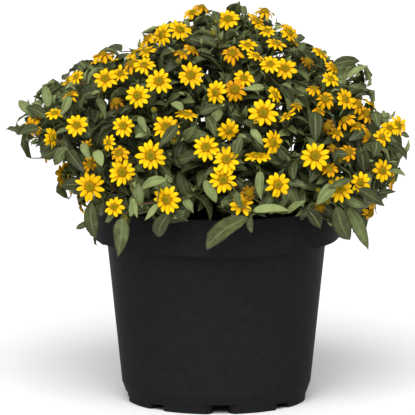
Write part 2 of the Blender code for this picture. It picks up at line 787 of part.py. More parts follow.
def back_heads(front):
    """Heads spread by rule over the sides and back that the front view leaves bare."""
    rng = random.Random("heads at the back")
    heads = []
    taken = [head.place for head in front]
    for out in golden_ways(BACK_HEADS, *BACK_HEAD_BAND, 0.0):
        place = mound_point(CROWN, out) - out * rng.uniform(0.0, BACK_SINK)
        diameter = rng.choice(BACK_DIAMETERS)
        tilt = Vector((rng.uniform(-0.5, 0.5), rng.uniform(-0.5, 0.5), rng.uniform(-0.1, 0.5)))
        age = rng.choice(BACK_AGES)
        if place.y < BACK_FROM:
            continue
        place = drawn_in(place, out, BACK_MARGIN * diameter)
        if any((place - other).length < BACK_SPACING for other in taken):
            continue
        taken.append(place)
        heads.append(Head(place, out, (mound_normal(place) + tilt).normalized(), diameter, age))
    return heads


def stem_ways():
    """The directions that the stems lean in, even over the upper part of a ball."""
    return golden_ways(STEM_COUNT, 1.0, LOWEST_STEM, STEM_TURN)


def heads_by_stem():
    """The numbered heads that lie closest to each stem's direction."""
    ways = stem_ways()
    groups = [[] for _ in ways]
    heads = front_heads()
    for number, head in enumerate(heads + back_heads(heads)):
        out = (head.place - CROWN).normalized()
        groups[max(range(len(ways)), key=lambda stem: out.dot(ways[stem]))].append((number, head))
    return groups


def foot_of(way):
    """Where a stem that leans this way stands in the compost."""
    return Vector((way.x, way.y, 0.0)) * CROWN_RADIUS + UP * SOIL_HEIGHT


class Plant:
    """The whole plant: its stems, their twigs, their heads and their leaves."""

    def __init__(self, pot, soil):
        self.layout = Layout([pot, soil])
        self.soil = soil
        self.ways = stem_ways()
        self.stems = [[] for _ in self.ways]
        self.tests = {}

    def keep(self, shape, shoot):
        """Note a shoot and the shape that stands for it in the tests."""
        self.stems[shoot.owner].append(shoot)
        self.tests[id(shoot)] = shape

    def add_heads(self, groups):
        """Grow each stem to its first head, then a twig to each of its other heads."""
        left = []
        for stem, group in enumerate(groups):
            way = self.ways[stem]
            group = sorted(group, key=lambda entry: -(entry[1].place - CROWN).normalized().dot(way))
            for number, head in group:
                if not self.stems[stem]:
                    shape, shoot = self.layout.add(self.stem_candidates(stem, head, number))
                    if shoot:
                        self.keep(shape, shoot)
                        continue
                left.append((number, head))
        for number, head in left:
            shape, shoot = self.layout.add(self.twig_candidates(head, number))
            if shoot:
                self.keep(shape, shoot)

    def stem_candidates(self, stem, head, number):
        """Ways for a stem to rise from the compost and end in its first head."""
        way = self.ways[stem]
        foot = foot_of(way)
        rng = random.Random(f"head {number}")
        turn = rng.uniform(0.0, 2.0 * math.pi)
        node = rng.uniform(*NODE_SHARES)
        start = foot + UP * STEM_STRAIGHT
        leave = (UP + Vector((way.x, way.y, 0.0)) * STEM_LEAN).normalized()
        for shift in DEPTH_SHIFTS:
            for slack in BOW_SLACKS:
                placed, arrive = self.approach(head, shift)
                bow = bow_between(start, leave, placed.collar(), arrive, slack)
                after = node + NODE_LENGTH / (bow[3] - bow[0]).length
                stops = (0.0, node / 3.0, node / 1.5, node, after, 1.0)
                path = [foot - UP * (HOLE_DEPTH - FOOT_ROOM)] + [bow_point(bow, stop) for stop in stops]
                radii = [STEM_RADIUS]
                for stop in stops[:-1]:
                    radii.append(STEM_RADIUS + (STEM_TIP_RADIUS - STEM_RADIUS) * stop)
                shoot = Shoot(stem, path, radii, 4, placed, turn)
                if shoot.arrives():
                    yield shoot.shape(), shoot, (self.soil,)

    def approach(self, head, shift):
        """A head moved along its line, and the direction that its stalk arrives in."""
        placed = replace(head, place=head.place + head.line * shift)
        outward = (head.place - CROWN).normalized()
        return placed, (head.face * FACE_PULL + outward).normalized()

    def twig_candidates(self, head, number):
        """Ways for a twig to leave one of the closest stems and end in a head."""
        rng = random.Random(f"head {number}")
        turn = rng.uniform(0.0, 2.0 * math.pi)
        node = rng.uniform(*NODE_SHARES)
        wished = rng.uniform(*FORK_SHARES)
        trunks = [self.stems[stem][0] for stem in self.closest_stems(head.place) if self.stems[stem]]
        for trunk in trunks:
            for shift in DEPTH_SHIFTS:
                placed, arrive = self.approach(head, shift)
                for stray in FORK_STRAYS:
                    start, along = along_path(trunk.path, wished + stray)
                    finish = placed.collar()
                    leave = (along * FORK_FLOW + (finish - start).normalized()).normalized()
                    for slack in BOW_SLACKS:
                        bow = bow_between(start, leave, finish, arrive, slack)
                        shoot = self.twig(trunk.owner, bow, number, node, placed, turn)
                        if shoot.arrives():
                            yield shoot.shape(), shoot, (self.tests[id(trunk)],)

    def twig(self, owner, bow, number, node, head, turn):
        """A twig that ends in a head; every third one has a node for a pair of leaves."""
        if number % PAIR_EVERY == 0:
            after = node + NODE_LENGTH / (bow[3] - bow[0]).length
            path = [bow_point(bow, stop) for stop in (0.0, node, after, 1.0)]
            return Shoot(owner, path, [TWIG_ROOT_RADIUS, TWIG_RADIUS, TWIG_RADIUS], 1, head, turn)
        if (bow[3] - bow[0]).normalized().dot(head.face) > STRAIGHT_FROM:
            return Shoot(owner, [bow[0], bow[3]], [TWIG_ROOT_RADIUS], 0, head, turn)
        path = [bow_point(bow, stop) for stop in (0.0, TWIG_BEND, 1.0)]
        return Shoot(owner, path, [TWIG_ROOT_RADIUS, TWIG_RADIUS], 0, head, turn)

    def add_front_leaves(self):
        """Leaves read from the front view, on the stems closest to their roots."""
        for number, row in enumerate(FRONT_LEAVES):
            root = seen_at(row[0], row[1])
            way = seen_at(row[2], row[3]) - root
            deep = way.dot(VIEW_NEAR)
            flat = way - VIEW_NEAR * deep
            most = flat.length * LEAF_DEPTH
            tip = root + flat + VIEW_NEAR * max(-most, min(most, deep))
            self.add_leaf_shoot(self.front_leaf_choices(root, tip, row[4:]), f"front leaf {number}")

    def front_leaf_choices(self, root, tip, sizes):
        """Places for a leaf of the front view, nearer to the eye or farther from it."""
        width, arch, lift = sizes
        light = (VIEW_NEAR + UP * LIGHT_LIFT).normalized()
        for shift in DEPTH_SHIFTS:
            for slope in LEAF_SLOPES:
                low = root + VIEW_NEAR * (lift + shift - 1.0)
                high = tip + VIEW_NEAR * (lift + shift + slope)
                yield Leaf(low, high, light, width, arch)

    def add_back_leaves(self):
        """Leaves that stand out at the sides and back, spread by rule."""
        rng = random.Random("leaves at the back")
        for number, out in enumerate(golden_ways(BACK_LEAVES, *BACK_LEAF_BAND, 1.1)):
            place = mound_point(CROWN, out)
            length = LEAF_LENGTH * rng.uniform(0.9, 1.3)
            width = LEAF_WIDTH * rng.uniform(0.8, 1.2)
            lean = Vector((rng.uniform(-1, 1), rng.uniform(-1, 1), rng.uniform(-0.9, 0.6)))
            if place.y < BACK_LEAVES_FROM:
                continue
            choices = self.back_leaf_choices(place, out, lean, length, width)
            self.add_leaf_shoot(choices, f"back leaf {number}")

    def back_leaf_choices(self, place, out, lean, length, width):
        """Places for a leaf at the back, turned and sunk step by step."""
        light = (mound_normal(place) + UP * LIGHT_LIFT).normalized()
        u = (lean - light * lean.dot(light)).normalized()
        v = light.cross(u)
        for depth in BACK_LEAF_DEPTHS:
            for spin in range(BACK_LEAF_TURNS):
                angle = 2.0 * math.pi * spin / BACK_LEAF_TURNS
                way = (u * math.cos(angle) + v * math.sin(angle) + out * LIGHT_LIFT).normalized()
                root = place - out * depth
                if inside_outline(root + way * length, 0.0):
                    yield Leaf(root, root + way * length, light, width, LEAF_ARCH * length)

    def add_leaf_shoot(self, leaves, label):
        """Grow the first leaf of the choices that finds a clear way to a twig."""
        rng = random.Random(label)
        shape, shoot = self.layout.add(self.leaf_shoot_candidates(leaves, rng))
        if shoot:
            self.keep(shape, shoot)

    def leaf_shoot_candidates(self, leaves, rng):
        """Ways for each leaf to join one of the twigs closest to its root."""
        for leaf in leaves:
            choices = []
            for stem in self.closest_stems(leaf.root):
                for parent in self.stems[stem]:
                    if parent.head:
                        share = nearest_share(parent.path, leaf.root)
                        share += rng.uniform(-ROOT_STRAY, ROOT_STRAY)
                        start, along = along_path(parent.path, share)
                        choices.append(((start - leaf.root).length, start, along, parent))
            choices.sort(key=lambda choice: choice[0])
            for _, start, along, parent in choices[:LEAF_PARENTS]:
                way = (leaf.tip - leaf.root).normalized()
                toward = (leaf.root - start).normalized()
                if way.dot(toward) < SHARPEST_BEND:
                    continue
                leave = (along * FORK_FLOW + toward).normalized()
                bow = bow_between(start, leave, leaf.root, way, BOW_SLACKS[0])
                path = [bow_point(bow, stop) for stop in (0.0, TWIG_BEND, 1.0)]
                shoot = Shoot(parent.owner, path, [TWIG_ROOT_RADIUS, LEAF_TWIG_RADIUS], 0, leaf=leaf)
                yield shoot.shape(), shoot, (self.tests[id(parent)],)

    def closest_stems(self, place):
        """The stems that lean closest to a place, nearest first."""
        out = (place - CROWN).normalized()
        order = sorted(range(len(self.ways)), key=lambda index: -out.dot(self.ways[index]))
        return order[:STEMS_TRIED]

    def add_pairs(self):
        """A pair of opposite leaves on each shoot that has a node for them, where there is room."""
        for stem, shoots in enumerate(self.stems):
            for number, shoot in enumerate(shoots):
                if shoot.node:
                    rng = random.Random(f"pair {stem} {number}")
                    shape, pair = self.layout.add(self.pair_candidates(shoot, rng))
                    if pair:
                        shoot.pair = pair

    def pair_candidates(self, shoot, rng):
        """Ways for two opposite leaves to stand on a shoot's leaf node."""
        length = LEAF_LENGTH * rng.uniform(0.82, 1.18)
        width = LEAF_WIDTH * rng.uniform(0.85, 1.12)
        forward = math.radians(rng.uniform(20.0, 50.0))
        low = carried_rings(shoot.path, shoot.radii, STEM_SIDES)[shoot.node]
        root = (shoot.path[shoot.node] + shoot.path[shoot.node + 1]) * 0.5
        along = (shoot.path[shoot.node + 1] - shoot.path[shoot.node]).normalized()
        for scale in PAIR_SCALES:
            for lean in PAIR_LEANS:
                for side in range(STEM_SIDES):
                    across = (low[side] - shoot.path[shoot.node]).normalized()
                    turn = PAIR_TURN + math.radians(lean)
                    out = across * math.cos(turn) + along.cross(across) * math.sin(turn)
                    pair = []
                    for sign, face in ((1.0, side), (-1.0, (side + 1) % STEM_SIDES)):
                        way = out * sign * math.cos(forward) + along * math.sin(forward)
                        light = along * math.cos(forward) - out * sign * math.sin(forward)
                        tip = root + way * length * scale
                        pair.append((face, Leaf(root, tip, light, width * scale, LEAF_ARCH * length)))
                    if not all(inside_outline(leaf.tip, 0.0) for _, leaf in pair):
                        continue
                    pair.sort(key=lambda entry: entry[0])
                    shape = replace(shoot, pair=pair).shape()
                    if not shape.crosses_itself():
                        yield shape.blades(), pair, (self.tests[id(shoot)],)


def mesh_object(name, shape, materials):
    """A Blender object from a shape."""
    mesh = bpy.data.meshes.new(name)
    mesh.from_pydata([point * METRE for point in shape.points], [], shape.faces)
    for material in materials:
        mesh.materials.append(material)
    for polygon, tint in zip(mesh.polygons, shape.tints):
        polygon.material_index = tint
    mesh.update()
    item = bpy.data.objects.new(name, mesh)
    bpy.context.scene.collection.objects.link(item)
    return item


def combine(target, tools, operation):
    """Join the tools to the target, or cut them from it, with one Boolean, and remove them."""
    group = bpy.data.collections.new("tools")
    bpy.context.scene.collection.children.link(group)
    for tool in tools:
        bpy.context.scene.collection.objects.unlink(tool)
        group.objects.link(tool)
    modifier = target.modifiers.new("combine", "BOOLEAN")
    modifier.operation = operation
    modifier.solver = "EXACT"
    modifier.operand_type = "COLLECTION"
    modifier.collection = group
    modifier.material_mode = "TRANSFER"
    bpy.context.view_layer.update()
    seen = target.evaluated_get(bpy.context.evaluated_depsgraph_get())
    mesh = bpy.data.meshes.new_from_object(seen)
    target.modifiers.clear()
    old = target.data
    target.data = mesh
    mesh.name = target.name
    bpy.data.meshes.remove(old)
    for tool in tools:
        data = tool.data
        bpy.data.objects.remove(tool)
        bpy.data.meshes.remove(data)
    bpy.data.collections.remove(group)


def material(name, colour, roughness):
    """A Principled material of one colour."""
    made = bpy.data.materials.new(name)
    made.use_nodes = True
    shader = made.node_tree.nodes["Principled BSDF"]
    shader.inputs["Base Color"].default_value = (*colour, 1.0)
    shader.inputs["Roughness"].default_value = roughness
    shader.inputs["Metallic"].default_value = 0.0
    made.diffuse_color = (*colour, 1.0)
    return made


def pot_profile():
    """Radii and heights of the pot from the middle of its foot to the middle of its floor."""
    return [
        (0.0, 0.0),
        (FOOT_RADIUS, 0.0),
        (FOOT_RING_RADIUS, FOOT_RING_HEIGHT),
        (WALL_FOOT_RADIUS, WALL_FOOT_HEIGHT),
        (WALL_TOP_RADIUS, WALL_TOP_HEIGHT),
        (SKIRT_RADIUS, SKIRT_HEIGHT),
        (RIM_RADIUS, RIM_HEIGHT - RIM_ROUNDING),
        (RIM_RADIUS - 0.5 * WALL, RIM_HEIGHT),
        (RIM_RADIUS - WALL, RIM_HEIGHT - 0.5 * RIM_ROUNDING),
        (SKIRT_RADIUS - WALL, SKIRT_HEIGHT + WALL),
        (WALL_TOP_RADIUS - WALL, WALL_TOP_HEIGHT + WALL),
        (FLOOR_RADIUS, FLOOR_HEIGHT),
        (0.0, FLOOR_HEIGHT),
    ]


def soil_profile(top):
    """Radii and heights of the compost, from the pot's floor to the height of its top."""
    return [
        (0.0, FLOOR_HEIGHT + GAP),
        (FLOOR_RADIUS - SOIL_ROOM, FLOOR_HEIGHT + GAP),
        (WALL_TOP_RADIUS - WALL - SOIL_ROOM, WALL_TOP_HEIGHT + WALL + SOIL_ROOM),
        (SKIRT_RADIUS - WALL - SOIL_ROOM, SKIRT_HEIGHT + WALL + SOIL_ROOM),
        (RIM_RADIUS - WALL - SOIL_ROOM, top - SOIL_EDGE_DROP),
        (RIM_RADIUS - WALL - SOIL_EDGE_WIDTH, top),
        (SOIL_MIDDLE_RADIUS, top),
        (0.0, top),
    ]


def turned_shape(name, profile, sides):
    """The same solid of revolution as turned_solid makes, for the clearance tests."""
    rings = [[Vector((0.0, 0.0, profile[0][1]))]]
    rings += [ring_about(UP * height, UP, radius, sides) for radius, height in profile[1:-1]]
    rings += [[Vector((0.0, 0.0, profile[-1][1]))]]
    return loft(name, rings, [GREEN])


def turned_solid(name, profile, sides, made_of, flat_below):
    """A solid of revolution from a profile that starts and ends on the axis.

    An end of the profile that is lower than flat_below gets one flat face.
    """
    mesh = bpy.data.meshes.new(name)
    bm = bmesh.new()
    corners = [bm.verts.new((radius * METRE, 0.0, height * METRE)) for radius, height in profile]
    edges = [bm.edges.new(pair) for pair in zip(corners, corners[1:])]
    bmesh.ops.spin(
        bm, geom=corners + edges, cent=(0.0, 0.0, 0.0), axis=(0.0, 0.0, 1.0),
        angle=2.0 * math.pi, steps=sides, use_merge=True,
    )
    bmesh.ops.remove_doubles(bm, verts=bm.verts, dist=0.000001)
    flat = [corner for corner in bm.verts
            if corner.co.xy.length < 0.000001 and corner.co.z < flat_below * METRE]
    bmesh.ops.dissolve_verts(bm, verts=flat)
    bmesh.ops.recalc_face_normals(bm, faces=bm.faces)
    bm.to_mesh(mesh)
    bm.free()
    mesh.materials.append(made_of)
    item = bpy.data.objects.new(name, mesh)
    bpy.context.scene.collection.objects.link(item)
    return item


def round_off(item):
    """Shade a turned piece smooth, with its real edges kept sharp."""
    item.data.shade_smooth()
    item.data.set_sharp_from_angle(angle=SHARP_FROM)


def channel_cutter(name, angle, mouth, height):
    """The space under the floor that one notch opens."""
    out = FOOT_RADIUS + 8.0
    throat = out - 8.0 - MOUTH_DEPTH
    start = CENTRE_PAD_RADIUS + 3.0
    plan = [
        (start, -0.5 * CHANNEL_WIDTH), (throat, -0.5 * CHANNEL_WIDTH), (out, -0.6 * mouth),
        (out, 0.6 * mouth), (throat, 0.5 * CHANNEL_WIDTH), (start, 0.5 * CHANNEL_WIDTH),
    ]
    cosine = math.cos(angle)
    sine = math.sin(angle)
    flat = [(x * cosine - y * sine, x * sine + y * cosine) for x, y in plan]
    low = [Vector((x, y, -2.0)) for x, y in flat]
    high = [Vector((x, y, height)) for x, y in flat]
    return mesh_object(name, loft("cutter", [low, high], [0]), [])


def make_pot(plastic):
    """The pot: turned wall and floor, with drainage channels and holes cut from below."""
    pot = turned_solid("pot", pot_profile(), POT_SIDES, plastic, RIM_HEIGHT)
    tools = []
    for index in range(CHANNEL_COUNT):
        angle = FIRST_CHANNEL + 2.0 * math.pi * index / CHANNEL_COUNT
        wide = index % 2 == 0
        mouth = WIDE_MOUTH if wide else NARROW_MOUTH
        height = WIDE_HEIGHT if wide else NARROW_HEIGHT
        tools.append(channel_cutter(f"channel_{index}", angle, mouth, height))
        middle = Vector((math.cos(angle), math.sin(angle), 0.0)) * DRAIN_HOLE_PLACE
        low = ring_about(middle + UP, UP, DRAIN_HOLE_RADIUS, DRAIN_HOLE_SIDES)
        high = ring_about(middle + UP * (FLOOR_HEIGHT + 2.0), UP, DRAIN_HOLE_RADIUS, DRAIN_HOLE_SIDES)
        tools.append(mesh_object(f"drain_{index}", loft("cutter", [low, high], [0]), []))
    combine(pot, tools, "DIFFERENCE")
    round_off(pot)
    return pot


def make_soil(compost, feet):
    """The compost inside the pot, with a plain hole for each stem."""
    soil = turned_solid("soil", soil_profile(SOIL_HEIGHT), SOIL_SIDES, compost, WALL_FOOT_HEIGHT)
    rng = random.Random("crumbs")
    for corner in soil.data.vertices:
        if corner.co.z > (SOIL_HEIGHT - 0.5) * METRE:
            corner.co.z += rng.uniform(-SOIL_ROUGHNESS, SOIL_ROUGHNESS) * METRE
    tools = []
    for index, foot in enumerate(feet):
        radius = STEM_RADIUS + HOLE_ROOM
        low = ring_about(foot - UP * HOLE_DEPTH, UP, radius, STEM_SIDES)
        high = ring_about(foot + UP * 6.0, UP, radius, STEM_SIDES)
        tools.append(mesh_object(f"hole_{index}", loft("cutter", [low, high], [0]), []))
    combine(soil, tools, "DIFFERENCE")
    round_off(soil)
    return soil


def make_stem(name, shoots, materials):
    """A leafy stem: its shoots, joined into one body."""
    pieces = []
    for index, shoot in enumerate(shoots):
        pieces.append(mesh_object(f"{name}_{index}", shoot.shape(), materials))
    pieces[0].name = name
    if len(pieces) > 1:
        combine(pieces[0], pieces[1:], "UNION")
    return pieces[0]


def main():
    """Build the pot, the compost and the stems."""
    for item in list(bpy.data.objects):
        bpy.data.objects.remove(item)
    plastic = material("black plastic", (0.012, 0.012, 0.013), 0.5)
    compost = material("dark compost", (0.022, 0.014, 0.009), 0.95)
    leaf = material("grey-green leaf", (0.07, 0.105, 0.05), 0.6)
    petal = material("yellow petal", (0.95, 0.56, 0.01), 0.55)
    faded = material("faded head", (0.30, 0.11, 0.015), 0.8)
    disc = material("olive disc", (0.22, 0.17, 0.02), 0.8)
    groups = heads_by_stem()
    make_pot(plastic)
    make_soil(compost, [foot_of(way) for way, group in zip(stem_ways(), groups) if group])
    plant = Plant(
        turned_shape("pot", pot_profile(), POT_SIDES),
        turned_shape("soil", soil_profile(SOIL_HEIGHT + SOIL_ROUGHNESS), SOIL_SIDES),
    )
    plant.add_heads(groups)
    plant.add_front_leaves()
    plant.add_back_leaves()
    plant.add_pairs()
    grown = [shoots for shoots in plant.stems if shoots]
    for number, shoots in enumerate(grown):
        make_stem(f"leafy_stem_{number + 1:02d}", shoots, [leaf, petal, faded, disc])


main()
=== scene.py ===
"""A potted creeping zinnia: a mound of leafy, flowering stems in a black nursery pot."""

import logging
import math
import random
from dataclasses import dataclass, field, replace
from enum import Enum, IntEnum
from functools import lru_cache
from typing import Iterable, Iterator, Optional, Sequence

import bpy
import numpy as np
from mathutils import Matrix, Vector
from mathutils.kdtree import KDTree


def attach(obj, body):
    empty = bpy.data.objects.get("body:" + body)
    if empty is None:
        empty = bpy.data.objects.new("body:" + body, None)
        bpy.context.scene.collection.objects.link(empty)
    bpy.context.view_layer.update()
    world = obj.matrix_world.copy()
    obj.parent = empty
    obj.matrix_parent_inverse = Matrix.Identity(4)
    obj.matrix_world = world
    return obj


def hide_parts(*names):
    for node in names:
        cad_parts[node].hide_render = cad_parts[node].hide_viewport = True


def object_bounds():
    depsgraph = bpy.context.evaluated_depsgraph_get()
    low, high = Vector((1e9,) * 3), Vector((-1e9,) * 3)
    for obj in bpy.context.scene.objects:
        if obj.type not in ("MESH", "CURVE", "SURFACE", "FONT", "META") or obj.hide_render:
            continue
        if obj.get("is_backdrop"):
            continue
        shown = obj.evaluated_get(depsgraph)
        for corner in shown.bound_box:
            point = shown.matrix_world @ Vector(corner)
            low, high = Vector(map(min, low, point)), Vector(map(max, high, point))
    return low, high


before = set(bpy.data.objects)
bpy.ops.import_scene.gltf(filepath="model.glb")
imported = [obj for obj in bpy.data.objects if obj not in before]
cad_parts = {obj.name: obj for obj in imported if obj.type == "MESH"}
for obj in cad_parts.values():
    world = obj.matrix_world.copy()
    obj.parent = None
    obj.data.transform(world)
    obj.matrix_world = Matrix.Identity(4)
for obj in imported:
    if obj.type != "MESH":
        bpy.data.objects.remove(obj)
CAD_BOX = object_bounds()

log = logging.getLogger("potted zinnia")

# All sizes below are in millimetres unless they say otherwise
METRE = 0.001
UP = Vector((0.0, 0.0, 1.0))
RIGHT = Vector((1.0, 0.0, 0.0))
GOLDEN_ANGLE = math.pi * (3.0 - math.sqrt(5.0))
NEARLY_ZERO = 0.05
BODY = "root"

Colour = tuple[float, float, float]
Span = tuple[float, float]
Floats = tuple[float, ...]
Array = np.ndarray
Material = bpy.types.Material
Socket = bpy.types.NodeSocket


class Age(Enum):
    """How far a flower head has come."""

    FRESH = "fresh"
    OLD = "old"
    FADED = "faded"
    BUD = "bud"


class Slot(IntEnum):
    """The finishes of a flowering stem, by their place on its mesh."""

    LEAF = 0
    UNDERSIDE = 1
    STALK = 2
    RAY = 3
    DISC = 4
    BRACT = 5
    WITHERED = 6


FRESH, OLD, FADED, BUD = Age

# Blooms seen from the front: column and row in the photo, diameter, how far the face turns
# to the right and up in that view, and the age of those that aren't fresh
FRONT_BLOOMS = [
    (193, 14, 15, -0.35, 0.75), (202, 9, 13, 0.2, 0.9, OLD), (228, 21, 19, 0, 0.6),
    (256, 23, 17, 0.5, 0.7), (264, 13, 15, 0.1, 0.93, OLD), (163, 37, 18, -0.65, 0.3),
    (180, 32, 18.5, 0.25, 0.6), (148, 41, 14, -0.6, 0.7, OLD), (288, 34, 17, 0.65, 0.5),
    (266, 33, 14, 0.1, 0.8), (275, 46, 16, 0.35, 0.8), (247, 48, 14, 0, 0.75),
    (181, 56, 12, 0.2, 0.85, OLD), (192, 52, 13, 0.5, 0.75, OLD), (232, 56, 16, 0, 0.6, OLD),
    (255, 59, 14, 0.45, 0.75), (319, 55, 15, 0.6, 0.7), (148, 54, 14, -0.3, 0.8),
    (104, 57, 17, -0.15, 0.96, OLD), (133, 66, 14, -0.35, 0.6, OLD), (145, 68, 16.5, 0, 0.65),
    (269, 67, 16, 0, 0.6), (284, 71, 17, 0.1, 0.35), (306, 64, 12, 0.5, 0.6, FADED),
    (332, 69, 11, 0.6, 0.5, OLD), (122, 76, 14.5, -0.2, 0.5), (78, 79, 13, -0.6, 0.5),
    (107, 81, 18, -0.1, 0.4), (160, 84, 19.6, 0, 0.35), (191, 78, 19.6, 0.05, 0.3),
    (329, 81, 14, 0.3, 0.6), (243, 81, 16, 0.1, 0.55), (312, 91, 12, 0.2, 0.8, OLD),
    (216, 95, 17.5, -0.4, 0.1), (234, 92, 17.5, 0, 0.25, OLD), (72, 97, 12, -0.4, 0.6, OLD),
    (139, 98, 18, -0.25, 0.1), (273, 97, 15, 0.75, 0.45), (343, 101, 17, 0.55, 0.3),
    (356, 106, 13.5, 0.6, 0.5, OLD), (323, 101, 15, 0.1, 0.4, OLD),
    (118, 104, 12, -0.3, 0.7, FADED), (295, 108, 10, 0.2, 0.7, OLD),
    (317, 113, 10, 0.2, 0.75, OLD), (262, 115, 21.5, 0, 0.1), (57, 115, 14, -0.1, 0.8),
    (364, 115, 14.5, 0.6, 0.4, OLD), (40, 118, 9, -0.6, 0.4, OLD), (187, 117, 17, 0.1, 0.9),
    (286, 118, 14, -0.5, 0.75), (343, 122, 16, -0.55, 0.75, OLD), (397, 126, 16.5, 0.6, 0.15),
    (388, 129, 13.5, 0.2, 0.5), (325, 128, 12, -0.4, 0.3, FADED),
    (334, 134, 11.5, 0.25, 0.45, OLD), (355, 127, 14, 0.2, 0.8, OLD),
    (365, 136, 13, 0.85, 0.1, OLD), (34, 129, 15.5, -0.6, -0.3, OLD), (54, 139, 16, 0.8, 0.05),
    (79, 127, 17, -0.05, 0.35), (125, 128, 16.5, 0, 0.3), (167, 129, 20, 0, 0.45),
    (228, 132, 17, 0.3, -0.45), (380, 138, 13.5, 0.25, 0.2), (271, 144, 18.5, 0.65, -0.05),
    (111, 144, 12, -0.6, 0.1), (89, 146, 9, 0.2, -0.75, OLD), (346, 153, 13.5, 0.3, 0.3, OLD),
    (330, 149, 8.5, 0.2, 0.8, FADED), (206, 149, 20, 0, 0.3), (152, 157, 22, -0.1, 0.05),
    (121, 154, 14, -0.2, 0.45, OLD), (226, 161, 19.5, 0.05, 0.25), (256, 158, 21.5, 0.05, 0.93),
    (313, 157, 21.5, -0.05, 0.05), (92, 165, 12.5, 0.35, 0.1, OLD), (380, 171, 17, 0.45, -0.05),
    (327, 170, 13.5, 0.05, 0.55, OLD), (124, 173, 20.5, 0, 0.05), (223, 180, 20.5, 0, -0.05),
    (276, 185, 19, 0.25, -0.1), (358, 183, 15.5, 0.2, 0.05), (92, 187, 21.5, 0, 0),
    (337, 189, 20, 0, 0.1), (248, 193, 12, 0.3, 0.2, FADED), (168, 200, 21, -0.35, 0),
    (241, 205, 17, 0, 0.35), (116, 207, 15, -0.15, 0.1), (318, 208, 9, 0.1, -0.3, FADED),
    (179, 64, 6, 0, 0.6, BUD), (126, 218, 6.5, 0, -0.3, BUD), (213, 36, 6, 0, 0.8, BUD),
    (104, 117, 5, 0.1, 0.6, BUD), (316, 190, 5, -0.3, 0, BUD), (325, 201, 6, -0.1, -0.3, BUD),
    (337, 161, 5, 0, 0.1, BUD), (174, 142, 6, 0.2, 0.1, BUD), (155, 112, 5.5, 0.1, 0.6, BUD),
]

# Leaves that stand out in the front view: column and row of the root, then of the tip, the
# width, how far the blade arches, how far it lies in front of the mound, and its paleness
FRONT_LEAVES = [
    (237, 17, 239, 2, 4.5, 1, 0, 0.45), (218, 24, 213, 13, 6, 0, 0, 0.4),
    (299, 56, 304, 44, 5.5, 0.5, 0, 0.5), (330, 67, 358, 63, 7.5, 2, 2, 0.33),
    (345, 80, 367, 67, 5.5, 1, 3, 0.85), (346, 88, 366, 93, 3.5, 4, 4, 0.5),
    (339, 67, 342, 94, 8, 1.5, 3, 0.75), (50, 109, 45, 85, 7.5, 1, 3, 0.72),
    (36, 118, 20, 102, 7, 1.5, 1, 0.75), (48, 119, 26, 108, 8.5, 1.5, 0, 0.35),
    (42, 130, 19, 136, 8, 1, 0, 0.3), (22, 133, 5, 129, 4.5, 1, -1, 0.3),
    (60, 140, 35, 148, 9, 1, 0, 0.15), (61, 149, 43, 158, 8, 1, 2, 0.3),
    (70, 148, 57, 166, 9.5, 2, 3, 0.4), (70, 150, 87, 173, 9, 2.5, 2, 0.2),
    (84, 145, 92, 159, 6, 1, 5, 0.85), (98, 152, 104, 167, 7.5, 1, 6, 0.9),
    (84, 185, 64, 186, 10.5, 1.5, -2, 0.2), (88, 196, 80, 204, 4, 0.5, -1, 0.3),
    (93, 201, 98, 237, 10.5, 2, 2, 0.42), (92, 221, 78, 228, 4.5, 0.5, 0, 0.4),
    (124, 217, 119, 257, 12, 3, 4, 0.38), (135, 198, 132, 217, 4.5, 1, 5, 0.95),
    (136, 199, 139, 218, 4, 1, 3, 0.9), (158, 204, 146, 220, 4.5, 1.5, 5, 0.95),
    (168, 181, 143, 190, 7, 3, 6, 0.85), (172, 212, 159, 237, 10.5, 2, 3, 0.4),
    (152, 208, 189, 221, 9, 1.5, 1, 0.42), (249, 217, 204, 249, 13, 3, 4, 0.48),
    (250, 214, 251, 232, 5, 1, 1, 0.5), (252, 211, 289, 210, 6.5, 1.5, 5, 0.95),
    (286, 213, 303, 201, 5, 1, 4, 0.7), (306, 210, 318, 228, 10, 1.5, 0, 0.15),
    (334, 206, 348, 240, 13, 2, 3, 0.42), (345, 206, 367, 250, 9.5, 2.5, 1, 0.65),
    (341, 198, 365, 207, 6.5, 1, 1, 0.45), (356, 189, 384, 206, 9, 1.5, 2, 0.25),
    (374, 194, 394, 192, 4.5, 1, -1, 0.15), (386, 171, 404, 177, 4, 1.5, 0, 0.75),
    (381, 184, 393, 177, 3.5, 0.5, -1, 0.3), (388, 142, 404, 161, 5, 5, 0, 0.15),
    (384, 147, 398, 152, 5, 1, 0, 0.3), (400, 133, 409, 137, 4, 0.5, -1, 0.3),
    (184, 112, 171, 106, 6, 1, 4, 0.9), (141, 118, 148, 135, 5.5, 2, 5, 0.8),
    (178, 127, 159, 148, 7.5, 2.5, 10, 0.4), (206, 118, 215, 139, 7, 2.5, 4, 0.4),
    (199, 116, 223, 109, 7.5, 1.5, 2, 0.28), (235, 155, 241, 138, 8, 1, 5, 0.44),
    (250, 131, 262, 147, 6, 1.5, 6, 0.8), (263, 89, 241, 92, 5, 3, 6, 0.75),
    (313, 114, 313, 143, 10.5, 2, 4, 0.3), (331, 186, 314, 204, 9, 1.5, 8, 0.8),
    (348, 180, 326, 188, 5.5, 1.5, 10, 0.4), (235, 192, 240, 209, 5, 1.5, 9, 0.6),
    (204, 181, 216, 203, 8, 1.5, 5, 0.75), (259, 172, 260, 200, 6.5, 2, 6, 0.75),
    (186, 200, 194, 213, 7, 1, 3, 0.8), (372, 113, 376, 128, 8, 1, 3, 0.4),
    (361, 131, 346, 141, 8, 1.5, 5, 0.2), (357, 147, 362, 174, 9.5, 2, 3, 0.15),
    (374, 142, 371, 158, 8, 1, 4, 0.3), (328, 154, 345, 156, 6.5, 1, 7, 0.35),
    (72, 98, 62, 118, 6.5, 1, 6, 0.8), (100, 100, 107, 120, 6, 1, 4, 0.45),
]

